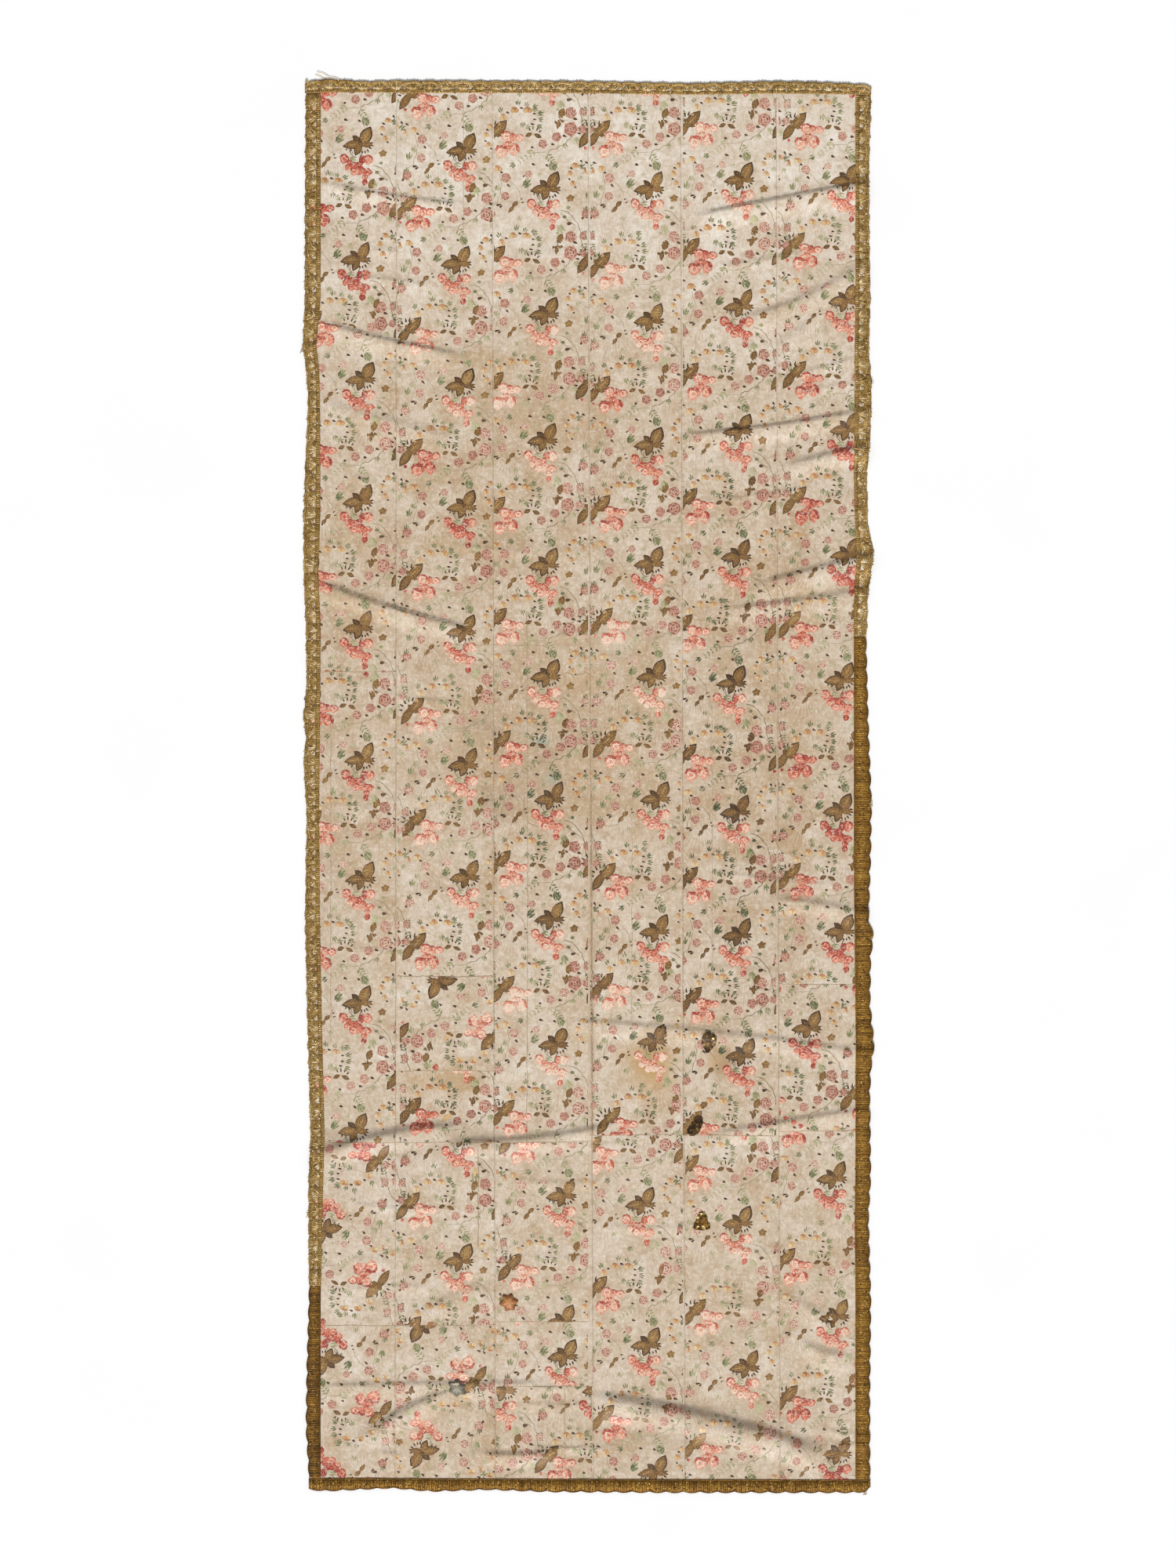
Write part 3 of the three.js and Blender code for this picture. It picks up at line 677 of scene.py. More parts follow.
def stem(thread, path, width, shade):
    """A thin line in short pieces, a little unsteady as woven stems are."""
    made = []
    for (from_across, from_down), (to_across, to_down) in zip(path, path[1:]):
        count = max(1, round(math.hypot(to_across - from_across, to_down - from_down) / 6))
        for k in range(count):
            ends = []
            for share in (k / count, (k + 1) / count):
                ends.append((
                    from_across + (to_across - from_across) * share + 0.7 * math.sin(share * 9),
                    from_down + (to_down - from_down) * share + 0.5 * math.cos(share * 7),
                ))
            made.append(leaf(thread, "band", *ends, width * 0.8, shade + 0.1 * (-1) ** k))
    return made


def rays(thread, heart, angles, start, length, width, shade):
    """Long feathers that spread from one place."""
    made = []
    for angle in angles:
        turn = math.radians(angle)
        step = (math.cos(turn), math.sin(turn))
        made.append(leaf(
            thread, "leaf",
            (heart[0] + step[0] * start, heart[1] + step[1] * start),
            (heart[0] + step[0] * (start + length), heart[1] + step[1] * (start + length)),
            width, shade,
        ))
    return made


pick = random.Random(5)


def petal(thread, across, down, turn, length, width, shade, layer):
    """One petal by its middle and the way it points."""
    step = (length / 2 * math.cos(turn), length / 2 * math.sin(turn))
    return leaf(
        thread, "petal", (across - step[0], down - step[1]), (across + step[0], down + step[1]),
        width, min(1, max(0, shade)), layer,
    )


def bloom(across, down, wide, tall, shade, petals=3):
    """A coral flower: a lobed patch, pale petals laid round its heart, a darker upper rim."""
    made = [spot("coral", "ragged", across, down, wide * 1.16, tall * 1.12, shade)]
    small = min(wide, tall)
    first = pick.uniform(0, math.tau)
    for k in range(petals):
        turn = first + math.tau * k / petals + pick.uniform(-0.4, 0.4)
        made.append(petal(
            "coral", across + wide * 0.22 * math.cos(turn), down + tall * 0.22 * math.sin(turn),
            turn + 1.3, small * 0.6, small * 0.22, shade + pick.uniform(0.1, 0.44), 1,
        ))
    for lean in (-0.8, 0.5):
        turn = -math.pi / 2 + lean + pick.uniform(-0.3, 0.3)
        made.append(petal(
            "coral", across + wide * 0.4 * math.cos(turn), down + tall * 0.4 * math.sin(turn),
            turn + math.pi / 2, small * 0.6, small * 0.19, shade - pick.uniform(0.2, 0.44), 2,
        ))
    return made


def rose(across, down, size, shade):
    """A small rose: a lobed patch with darker folds curling round a dark heart."""
    made = [spot("rose", "petals", across, down, size * 1.1, size * 1.1, min(1, shade + 0.22))]
    first = pick.uniform(0, math.tau)
    for count, reach, length, width, change in (
        (6, 0.37, 0.42, 0.13, -0.12), (4, 0.2, 0.34, 0.13, -0.26), (1, 0.02, 0.22, 0.16, -0.45),
    ):
        for k in range(count):
            turn = first + math.tau * k / count + pick.uniform(-0.2, 0.2)
            made.append(petal(
                "rose", across + size * reach * math.cos(turn),
                down + size * reach * math.sin(turn), turn + 1.75, size * length, size * width,
                shade + change + pick.uniform(-0.1, 0.1), 1,
            ))
        first += 0.7
    return made


def bud(across, down, wide, tall, shade):
    """A yellow bud in two halves under an orange cap."""
    wide, tall = wide * 1.2, tall * 1.2
    return [
        leaf("bud", "petal", (across - wide * 0.46, down + tall * 0.05),
             (across + wide * 0.1, down + tall * 0.2), tall * 0.66, shade + 0.22),
        leaf("bud", "petal", (across - wide * 0.1, down + tall * 0.2),
             (across + wide * 0.46, down + tall * 0.02), tall * 0.62, shade + 0.1),
        leaf("bud", "petal", (across - wide * 0.34, down - tall * 0.24),
             (across + wide * 0.3, down - tall * 0.16), tall * 0.34, shade - 0.2, 1),
        leaf("bud", "petal", (across, down + tall * 0.3),
             (across + wide * 0.1, down - tall * 0.2), tall * 0.16, shade - 0.25, 1),
    ]


def feather(across, down, turn, length, shade):
    """Three soft strokes side by side."""
    made = []
    for k in (-1, 0, 1):
        angle = math.radians(turn + 16 * k)
        step = (math.cos(angle), math.sin(angle))
        start = (across - step[1] * 1.2 * k, down + step[0] * 1.2 * k)
        reach = length * (1 - 0.2 * abs(k))
        made.append(leaf(
            "green", "petal", start, (start[0] + step[0] * reach, start[1] + step[1] * reach),
            length * 0.24, shade + 0.1 * k,
        ))
    return made


REPEAT = [
    # Trio of brown-gold leaves, each on a darker one that shows as its outline
    leaf("dark", "wing", (3, 7.4), (15, -16.4), 14.6, 0.34),
    leaf("gold", "wing", (3, 6.6), (13.6, -14), 12.6, 0.6, 1),
    leaf("dark", "wing", (6, 4.4), (-21, 9), 11.6, 0.32),
    leaf("gold", "wing", (6, 4.6), (-19.2, 8), 9.8, 0.54, 1),
    leaf("dark", "wing", (2.6, 4), (-4.8, 20.8), 9.4, 0.4),
    leaf("gold", "wing", (2.6, 5), (-4, 18.6), 7.6, 0.5, 1),
    leaf("dark", "wing", (2.4, 4.4), (-8.4, -5), 7.6, 0.44, 1),
    leaf("gold", "petal", (-0.6, 1.4), (-6, -2.8), 2.6, 0.3, 2),
    petal("gold", 9, -4.6, -1.1, 16, 1.4, 0.86, 2),
    petal("gold", -8, 6.6, 3.0, 18, 1.2, 0.8, 2),
    spot("gold", "ragged", 1.6, 3.4, 6.4, 5.6, 0.28, 2),
    *each(drop, (-10, 12, -11.5, 16, 3, 0.45), (-15, 11.5, -17, 14.5, 2.6, 0.45)),
    leaf("gold", "wing", (2, 5.6), (17, 7.2), 8, 0.5, 1),
    *each(drop,
          (14, 4.6, 18.6, 4.4, 3.4, 0.25), (14, 7.6, 19, 8.4, 3.4, 0.22),
          (12.4, 9.8, 16.8, 12.6, 3.4, 0.22), (10, 12.4, 12.8, 17, 3.4, 0.2),
          (7.6, 14.4, 8.2, 18.4, 3, 0.25), (4, 14.6, 4, 19, 3.4, 0.2)),
    *stem("stem", [(-14, 9), (-12, 15), (-8, 21), (-3, 23)], 1.2, 0.3),
    *stem("stem", [(3, 18), (0.5, 24), (0, 29)], 1.4, 0.15),
    *stem("stem", [(-10, 12), (-8, 18)], 1.1, 0.35),
    # Swag of coral flowers under it
    leaf("coral", "ragged", (-18, 30), (3, 37), 11, 0.5),
    leaf("coral", "ragged", (-12, 38), (14, 42), 12, 0.62),
    *each(bloom,
          (-19, 25, 12, 13, 0.42, 4), (-12, 30, 8, 9, 0.3, 2), (-6, 33, 8, 8, 0.26, 2),
          (0, 32, 8, 8, 0.3, 2), (4.5, 26, 8, 12, 0.24, 2), (12, 26, 12, 13, 0.68, 4),
          (-14, 36, 9, 8, 0.66, 3), (-6, 41, 12, 10, 0.58, 4), (2.5, 38, 8, 8, 0.4, 2),
          (10, 42, 14, 10, 0.5, 4), (7.5, 48.5, 8, 7, 0.6, 2)),
    leaf("coral", "wing", (8.5, 50), (6, 59), 7.5, 0.2),
    petal("coral", 7.2, 55, 1.8, 6, 2.2, 0.5, 1),
    *each(feather, (-12, 25, 10, 10, 0.75), (16, 52, 70, 14, 0.85)),
    # Stems, roses and sprigs to the right
    *stem("stem", [(18, 33), (28, 36), (40, 50), (44, 62), (45, 76)], 1.2, 0.6),
    *stem("stem", [(20, 38), (27, 46), (36, 52)], 1.0, 0.6),
    spot("green", "leaf", 23, 42, 6, 4, 0.35),
    spot("green", "leaf", 28, 30, 6, 4, 0.6),
    *feather(50, 36, -85, 9, 0.35),
    *each(drop, (45, 45, 48, 41, 4.5, 0.35), (26, 51, 33, 50, 6.5, 0.5)),
    *each(rose, (31, 67, 15, 0.46), (31, 88, 18, 0.44)),
    drop(34, 74, 40, 76, 5.2, 0.4),
    *fern("green", (47, 58), (50, 71), 5.5, 4, 0.3),
    *fern("green", (47, 74), (51, 88), 5.5, 4, 0.3),
    *feather(37, 98, 75, 10, 0.8),
    leaf("gold", "lobed", (25, 20), (36, 16), 10, 0.62),
    # Arc of small roses above
    *each(rose, (13, -60, 12.5, 0.42), (-4.5, -51, 12, 0.46)),
    *each(drop,
          (21, -62, 26, -60, 5, 0.4), (-20, -47, -16, -46, 4.6, 0.4),
          (5.5, -51, 10.5, -50, 4.8, 0.4)),
    *stem("stem", [(36, -66), (30, -58), (23, -51), (12, -45), (3, -42.5), (0, -35)], 1.2, 0.55),
    *stem("stem", [(-22, -40), (-15, -40.5), (-8, -40.5), (0, -41)], 0.9, 0.7),
    *fern("green", (0, -38), (10, -26), 7, 4, 0.62, 0.5),
    *fern("green", (-14, -43), (-36, -27), 6.0, 5, 0.75, 0.4),
    *feather(23, -52, 80, 8, 0.6),
    drop(-19, -26, -14, -24, 4.5, 0.25),
    *rose(-23, -13, 9.5, 0.62),
    *each(feather, (-29, 4, -48, 14, 0.3), (-27, -3, -20, 8, 0.7), (-10, -14, 60, 6, 0.9)),
    # Loose bunch of coral flowers to the left
    leaf("coral", "ragged", (-56, -59), (-32, -57), 9, 0.6),
    leaf("coral", "ragged", (-60, -50), (-36, -50), 8, 0.66),
    *each(bloom,
          (-51, -61, 15, 13, 0.6, 4), (-43, -60, 9, 11, 0.36, 2), (-34, -59, 12, 10, 0.6, 4),
          (-48, -52, 9, 6, 0.4, 2), (-57.5, -41.5, 17, 17, 0.62, 5), (-41, -44, 14, 16, 0.6, 5)),
    petal("coral", -57, -47, 0.3, 14, 4, 0.18, 3),
    petal("coral", -37, -45, 1.2, 12, 4, 0.2, 3),
    *bloom(-49, -46, 7, 7, 0.42, 2),
    spot("coral", "ragged", -73, -46, 5, 5, 0.25),
    *stem("green", [(-47, -54), (-49, -48), (-52, -44)], 1.3, 0.4),
    *feather(-48, -47, -30, 7, 0.75),
    # Little gold leaves and drops
    leaf("gold", "leaf", (-27, -61), (-18, -65), 5, 0.42),
    leaf("gold", "leaf", (-16, -64), (-6, -59), 5, 0.42),
    leaf("gold", "wing", (-43, 28), (-36, 22), 5.5, 0.5),
    leaf("gold", "leaf", (-41, 27), (-49, 37), 5, 0.5),
    leaf("gold", "wing", (17, -84), (22, -97), 8.5, 0.5),
    leaf("gold", "leaf", (17, -84), (14, -70), 6, 0.46),
    spot("gold", "ragged", 12, -79, 5.5, 4.5, 0.46),
    spot("gold", "ragged", 20.5, -80, 6, 5, 0.46),
    *each(drop,
          (-21, -68, -23, -73, 2.8, 0.25), (-17, -69, -17, -75, 2.8, 0.25),
          (-13, -68, -11, -73, 2.8, 0.25), (-10, -66, -6, -69, 2.8, 0.25),
          (-33, 20, -30, 18, 2.6, 0.35), (-32, 24, -28, 23, 2.6, 0.35), (-1, -25, 3, -22, 4.4, 0.4),
          (-30, -9, -27, -12, 2.6, 0.5)),
    *each(feather,
          (5, -28, 62, 13, 0.35), (12, -27, 118, 12, 0.6), (-40, -26, 150, 9, 0.3),
          (-35, 47, -80, 8, 0.75), (-18, 62, 15, 9, 0.5), (52, 96, -70, 9, 0.7)),
    drop(-60, 30, -56, 27, 4, 0.35),
    *each(rose, (47, 66, 11, 0.5), (46, 88, 10.5, 0.44)),
    spot("green", "leaf", 14, 63, 5, 3.4, 0.8),
    spot("green", "leaf", -22, -42, 6, 3.6, 0.85),
    *stem("stem", [(-46, -4), (-40, 2), (-34, 10), (-33, 18)], 0.8, 0.8),
    # Chain of buds and roses down the left
    *feather(-80, -20, -35, 10, 0.35),
    *bud(-61.5, -20, 10.5, 8, 0.55),
    *each(drop, (-73, -28, -68, -26, 4, 0.25), (-59, -16, -55, -14, 4, 0.3)),
    *rose(-51.5, -8, 12.5, 0.5),
    drop(-50, 0, -46, 4, 4.2, 0.35),
    *rose(-52.5, 15.5, 11.5, 0.48),
    drop(-64, 27, -57, 26, 4.2, 0.35),
    *rose(-71, 38, 12.5, 0.46),
    *each(feather, (-69, 18, -80, 11, 0.5), (-64, 8, -60, 9, 0.7)),
    *stem("stem", [(-60, -14), (-57, 0), (-59, 12), (-63, 24), (-72, 32)], 0.9, 0.8),
    # Wreath of buds, dark drops inside and green tips outside
    *each(bud,
          (-55, -86, 8, 9, 0.6), (-40.5, -95, 10, 8, 0.4), (-23.5, -94.5, 12, 8, 0.45),
          (-60, -76, 6, 6, 0.7)),
    *each(drop,
          (-51, -92, -47, -90, 3.6, 0.25), (-34, -98, -29, -96, 4, 0.25),
          (-17, -90, -12.5, -89, 3.4, 0.25), (-17, -83, -12.5, -82, 3.4, 0.25),
          (-20, -77, -14.5, -76, 3.6, 0.25)),
    *each(feather,
          (-57, -92, -115, 8, 0.45), (-36, -101, -95, 8, 0.4), (-26, -99, -70, 7, 0.45),
          (-17, -97, -30, 8, 0.4), (-11, -89, -20, 9, 0.35), (-10, -82, 0, 8, 0.35),
          (-12, -75, 30, 9, 0.4), (-31, -79, 75, 9, 0.6), (-27, -72, -10, 9, 0.7)),
    # Half wreath to the right
    *each(bud,
          (37, -24.5, 9, 7, 0.45), (30, -14, 7.5, 7, 0.5), (33.5, -1.5, 7, 7, 0.45),
          (49, -17, 5, 9, 0.45)),
    *each(drop,
          (30, -21, 34, -19, 4, 0.3), (28, -7, 31, -5, 3.4, 0.3), (35.5, 3, 38.5, 5, 3.4, 0.3),
          (43, -31, 46, -27, 4, 0.3)),
    *feather(41, -10, 60, 8, 0.8),
    # Second trio
    leaf("dark", "wing", (-69, -61), (-50.5, -81.5), 12.6, 0.5),
    leaf("gold", "wing", (-68, -62), (-51.5, -80), 10.4, 0.56, 1),
    leaf("dark", "wing", (-65.5, -68), (-80.5, -46), 11, 0.5),
    leaf("gold", "wing", (-66, -67), (-79.5, -47.5), 9, 0.52, 1),
    leaf("gold", "petal", (-67, -64), (-55, -76), 2, 0.82, 2),
    spot("gold", "ragged", -69, -69, 7, 7, 0.4),
    leaf("gold", "lobed", (-67, -65), (-57, -61), 6.4, 0.42),
    *each(drop,
          (-78, -64, -83.5, -65, 3.4, 0.2), (-77, -69, -82.5, -72, 3.4, 0.2),
          (-74, -72, -77.5, -77.5, 3.4, 0.2), (-70, -74, -71, -80.5, 3.4, 0.2),
          (-66, -75, -64.5, -81.5, 3.4, 0.2), (-62, -75, -58, -80.5, 3.4, 0.2)),
    # Self-coloured fans and feathers in the ground
    *rays("relief", (-46, 18), range(52, 130, 9), 5, 34, 1.7, 0.6),
    *rays("relief", (-76, 48), range(50, 130, 11), 4, 28, 1.6, 0.6),
    *rays("relief", (-35, -74), range(-160, 0, 22), 3, 16, 1.6, 0.6),
    *rays("relief", (40, -12), range(-75, 80, 20), 3, 14, 1.6, 0.6),
    *rays("relief", (8, 62), range(35, 140, 12), 5, 28, 1.6, 0.6),
    *rays("relief", (-28, 60), range(60, 125, 11), 2, 20, 1.5, 0.6),
]
print("shapes in one repeat:", len(REPEAT))

# %% [markdown]
# ## Where each scrap of silk lies
#
# Each width is pieced from scraps of the same silk, some of them turned upside down. A scrap
# has its own edges, and the places where the heart of the trio falls on it. The chart is laid
# from each of those places and cut off at the scrap's edges, as the scissors did.

# %% Scraps of silk and their repeats
ACROSS_REPEAT = 122
DOWN_REPEAT = 158
# Each scrap: left, right, top, bottom, turned upside down, hearts of the leaf trios, and how
# much lighter its coral is
SCRAPS = [
    (396, 505, 112, 857, False, [(458, 178), (455, 325), (461, 478), (458, 634), (458, 795)],
     -0.14),
    (396, 505, 857, 1457, False, [(460, 963), (461, 1115), (457, 1273), (452, 1436)], -0.12),
    (396, 503.5, 1457, 1894, True, [(416, 1414), (416, 1574), (419, 1740), (417, 1904)], -0.08),
    (507, 628, 112, 1245, False,
     [(590, 186), (583, 330), (588, 486), (590, 641), (590, 800), (592, 970), (594, 1113)], 0.0),
    (510, 631, 1245, 1366, True, [(563, 1258), (563, 1416)], 0.0),
    (510, 631, 1366, 1457, False, [(588, 1323), (588, 1481)], 0.0),
    (505, 631, 1457, 1690, False, [(588, 1443), (586, 1602), (588, 1760)], 0.0),
    (505, 631, 1690, 1894, True, [(540, 1696), (540, 1857)], 0.0),
    (630, 750, 112, 1457, False,
     [(697, 235), (695, 395), (693, 556), (695, 715), (697, 857), (702, 1013), (702, 1166),
      (707, 1326), (707, 1484)], 0.2),
    (633, 750, 1457, 1686, False, [(717, 1519), (716, 1680)], 0.05),
    (633, 750, 1686, 1768, False, [(719, 1724)], 0.05),
    (633, 755, 1768, 1894, False, [(641, 1767), (641, 1925), (763, 1925)], 0.0),
    (753, 868, 112, 1448, False,
     [(829, 235), (829, 403), (829, 561), (829, 713), (832, 857), (837, 1013), (836, 1182),
      (833, 1322), (842, 1493)], 0.12),
    (756, 871, 1448, 1894, False, [(818, 1372), (818, 1530), (825, 1709), (834, 1872)], 0.05),
    (871, 990, 112, 1448, False,
     [(944, 223), (943, 385), (942, 544), (940, 704), (934, 865), (939, 1030), (941, 1187),
      (946, 1340), (946, 1498)], 0.0),
    (874, 993, 1448, 1894, False, [(942, 1396), (942, 1554), (951, 1738), (951, 1908)], 0.0),
    (993, 1104, 112, 1255, False,
     [(1079, 225), (1077, 378), (1079, 542), (1079, 702), (1072, 861), (1070, 1028),
      (1072, 1182)], -0.12),
    (994, 1104, 1255, 1443, False, [(1030, 1147), (1030, 1305), (1030, 1463)], -0.08),
    (995, 1104, 1443, 1894, False, [(1062, 1340), (1062, 1497), (1065, 1673), (1068, 1848)],
     -0.08),
]
# Odd pieces that are no part of the repeat
SINGLES = [
    spot("bud", "ragged", 600, 1377, 16, 12, 0.2),
    leaf("bud", "leaf", (566, 1328), (578, 1316), 7, 0.75),
    leaf("bud", "leaf", (562, 1431), (578, 1419), 7, 0.6),
    spot("bud", "ragged", 551, 1689, 14, 8, 0.15),
    leaf("bud", "leaf", (605, 1504), (607, 1488), 6, 0.7),
    spot("coral", "ragged", 1002, 1426, 9, 7, 0.35),
    spot("coral", "ragged", 1012, 1431, 9, 7, 0.45),
    spot("coral", "ragged", 1021, 1436, 8, 7, 0.3),
    leaf("gold", "wing", (891, 1414), (903, 1405), 7, 0.5),
    spot("gold", "ragged", 848, 1321, 6, 5, 0.4),
    spot("gold", "ragged", 750, 1770, 6, 8, 0.5),
    spot("bud", "round", 514, 1872, 3, 3, 1.0),
    spot("bud", "round", 525, 1871, 3, 3, 1.0),
]


def band_pattern():
    shape = bmesh.new()
    bmesh.ops.create_grid(shape, x_segments=2, y_segments=2, size=1)
    points, triangles = pattern_arrays(shape)
    middle = (1 - np.abs(points[:, 1])) * 0.9
    return np.stack([points[:, 0] * 1.04, points[:, 1], middle], axis=1), triangles


SHAPES["band"] = band_pattern()
THREAD_LIFT = {
    "gold": 0.42, "dark": 0.34, "coral": 0.36, "rose": 0.36, "bud": 0.36, "green": 0.34,
    "stem": 0.3, "relief": 0.22,
}
# Where stems and leaves have kept their colour
FRESH_PLACES = [
    (940, 900, 60, 260, 0.4), (700, 1100, 70, 130, 0.25), (600, 1420, 70, 90, 0.25),
    (640, 1000, 50, 50, 0.2), (990, 1060, 60, 60, 0.2), (960, 1200, 100, 180, 0.3),
    (880, 1340, 100, 80, 0.2), (560, 1330, 110, 130, 0.2),
]
FRESH_SHARE = {"green": 1, "stem": 1, "gold": 0.4, "dark": 0.4, "rose": 0.3, "coral": 0.15}
# Each layer lies this far above the one below it, in metres
LAYER_LIFT = 0.00014
chance = random.Random(17)


def empty_drawing():
    return {"points": [], "faces": [], "tone": []}


def add_shape(drawn, points, triangles, tone):
    base = sum(len(part) for part in drawn["points"])
    drawn["points"].append(points)
    drawn["faces"].append(triangles + base)
    drawn["tone"].append(np.broadcast_to(np.clip(tone, 0, 1), (len(points),)))


def stamp(drawn, element, heart, sign, shade_change, faded=0.0):
    """Turns and stretches one shape and adds it to the flat drawing of its thread."""
    thread, shape, from_across, from_down, to_across, to_down, width, shade, layer = element
    points, triangles = SHAPES[shape]
    start = np.array([to_x(heart[0] + sign * from_across), to_y(heart[1] + sign * from_down)])
    end = np.array([to_x(heart[0] + sign * to_across), to_y(heart[1] + sign * to_down)])
    start += np.array([chance.gauss(0, 0.3), chance.gauss(0, 0.3)]) * UNIT
    forward = (end - start) / 2
    side = np.array([-forward[1], forward[0]]) / np.hypot(*forward) * width * UNIT / 2
    side = side * (1 + chance.gauss(0, 0.05))
    flat = start + forward + points[:, :1] * forward + points[:, 1:2] * side
    centre = points[:, 2]
    lift = THREAD_LIFT[thread] / 1000 * (0.12 + 0.88 * np.clip(centre * 3.2, 0, 1))
    lift = lift + layer * LAYER_LIFT
    # Painted light: the raised middle of each shape is painted lighter and its rim darker, most on
    # the gold leaves, drops and buds.
    painted_dome_light = 0.16 if thread in ("gold", "dark", "bud") else 0.04
    tone = shade + painted_dome_light * (centre - 0.4) + chance.gauss(0, 0.04)
    if thread == "coral":
        tone = tone + shade_change + 0.8 * faded - 0.1 * points[:, 1] - 0.12
    if thread in FRESH_SHARE:
        tone = tone - FRESH_SHARE[thread] * spread(FRESH_PLACES, *heart)
    tone = tone + (-0.05 if thread in ("gold", "dark") else faded)
    add_shape(drawn, np.column_stack([flat, lift]), triangles, tone)


def drawing_mesh(drawn, name):
    mesh = bpy.data.meshes.new(name)
    points = np.concatenate(drawn["points"])
    faces = np.concatenate(drawn["faces"])
    mesh.from_pydata(points.tolist(), [], faces.tolist())
    write_values(mesh, "tone", np.concatenate(drawn["tone"]))
    return mesh


def cut_to(mesh, left, right, top, bottom):
    """Cuts a flat drawing off at four edges."""
    shape = bmesh.new()
    shape.from_mesh(mesh)
    edges = [
        ((to_x(left), 0, 0), (-1, 0, 0)), ((to_x(right), 0, 0), (1, 0, 0)),
        ((0, to_y(top), 0), (0, 1, 0)), ((0, to_y(bottom), 0), (0, -1, 0)),
    ]
    for place, outward in edges:
        bmesh.ops.bisect_plane(
            shape, geom=shape.verts[:] + shape.edges[:] + shape.faces[:],
            plane_co=place, plane_no=outward, clear_outer=True,
        )
    shape.to_mesh(mesh)
    shape.free()


# Shapes up to this far outside a scrap are drawn, as parts of them may reach into it
REACH = 14


def draw_scrap(scrap):
    left, right, top, bottom, turned, hearts, shade_change = scrap
    sign = -1 if turned else 1
    drawings = {thread: empty_drawing() for thread in THREAD_LIFT}
    (first_across, first_down), (last_across, last_down) = hearts[0], hearts[-1]
    before = (first_across, first_down - DOWN_REPEAT)
    after = (last_across, last_down + DOWN_REPEAT)
    for heart in (before, *hearts, after):
        for wrap in (-ACROSS_REPEAT, 0, ACROSS_REPEAT):
            faded = chance.uniform(-0.08, 0.14)
            for element in REPEAT:
                across = heart[0] + wrap + sign * (element[2] + element[4]) / 2
                down = heart[1] + sign * (element[3] + element[5]) / 2
                inside = left - REACH < across < right + REACH
                if inside and top - REACH < down < bottom + REACH:
                    place = (heart[0] + wrap, heart[1])
                    stamp(drawings[element[0]], element, place, sign, shade_change, faded)
    return drawings


def add_to_cloth(drawings, edges=None):
    for thread, drawn in drawings.items():
        if drawn["points"]:
            mesh = drawing_mesh(drawn, "flat_flowers")
            if edges:
                cut_to(mesh, *edges)
            flat_cloth[thread].from_mesh(mesh)
            bpy.data.meshes.remove(mesh)


flat_cloth = {thread: bmesh.new() for thread in THREAD_LIFT}
for scrap in SCRAPS:
    add_to_cloth(draw_scrap(scrap), scrap[:4])
single_drawings = {thread: empty_drawing() for thread in THREAD_LIFT}
for element in SINGLES:
    stamp(single_drawings[element[0]], element, (0, 0), 1, 0)
add_to_cloth(single_drawings)
print("faces before draping:", {t: len(s.faces) for t, s in flat_cloth.items()})

# %% [markdown]
# ## Laying the flowers on the folds
#
# So far the flowers are flat. Where a fold passes under one, its edges are split until no edge
# strays more than an eighth of a millimetre from the silk, and then every point is raised by
# the height of the silk below it.

# %% Drape and finish each thread
STRAY = 0.00012


def face_height(places):
    return silk_face(places[:, 0] / UNIT + MIDDLE_ACROSS, MIDDLE_DOWN - places[:, 1] / UNIT)


def drape(shape, name):
    for _ in range(3):
        shape.verts.index_update()
        places = np.array([vertex.co[:] for vertex in shape.verts])
        height = face_height(places)
        ends = np.array([[v.index for v in edge.verts] for edge in shape.edges])
        middles = (places[ends[:, 0]] + places[ends[:, 1]]) / 2
        bend = face_height(middles) - (height[ends[:, 0]] + height[ends[:, 1]]) / 2
        edges = list(shape.edges)
        split = [edges[k] for k in np.nonzero(np.abs(bend) > STRAY)[0]]
        if not split:
            break
        bmesh.ops.subdivide_edges(shape, edges=split, cuts=1)
    bmesh.ops.triangulate(shape, faces=[face for face in shape.faces if len(face.verts) > 4])
    mesh = mesh_of(shape, name)
    places = vertex_places(mesh)
    places[:, 2] += face_height(places)
    mesh.vertices.foreach_set("co", places.ravel())
    return mesh


def brocade_thread(name, stops, *, metal=0.0, worn=0.5, silk="#CDBB9F", mottle=0.8):
    """Coloured weft floats: shaded by the tone on the mesh, rubbed away in places."""
    thread = new_material(name)
    where = add_node(thread, "ShaderNodeTexCoord", output="Object")
    tone = add_node(thread, "ShaderNodeAttribute", output="Fac", attribute_name="tone")
    fleck = add_node(thread, "ShaderNodeTexNoise", {"Vector": where, "Scale": 420, "Detail": 3})
    flecked = add_node(thread, "ShaderNodeMath", [fleck, mottle, tone], operation="MULTIPLY_ADD")
    centred = add_node(thread, "ShaderNodeMath", [flecked, mottle / 2], operation="SUBTRACT")
    dyed = add_node(thread, "ShaderNodeValToRGB", [centred], stops)
    glint_and_wear_noise = add_node(thread, "ShaderNodeTexNoise", {"Vector": where, "Scale": 240, "Detail": 5})
    bare = add_node(thread, "ShaderNodeMapRange", [glint_and_wear_noise, 0.52, 0.68, 0, worn])
    base = add_node(
        thread, "ShaderNodeMix", {0: bare, 6: dyed, 7: silk}, output=2, data_type="RGBA"
    )
    place = add_node(thread, "ShaderNodeMapping", {"Vector": where, "Scale": (1400, 500, 1)})
    grain = add_node(thread, "ShaderNodeTexNoise", {"Vector": place, "Scale": 1})
    bump = add_node(
        thread, "ShaderNodeBump", {"Strength": 0.3, "Distance": 0.0003, "Height": grain}
    )
    dress(thread, {"Base Color": base, "Normal": bump, "Roughness": 0.5, "Metallic": metal})
    return thread


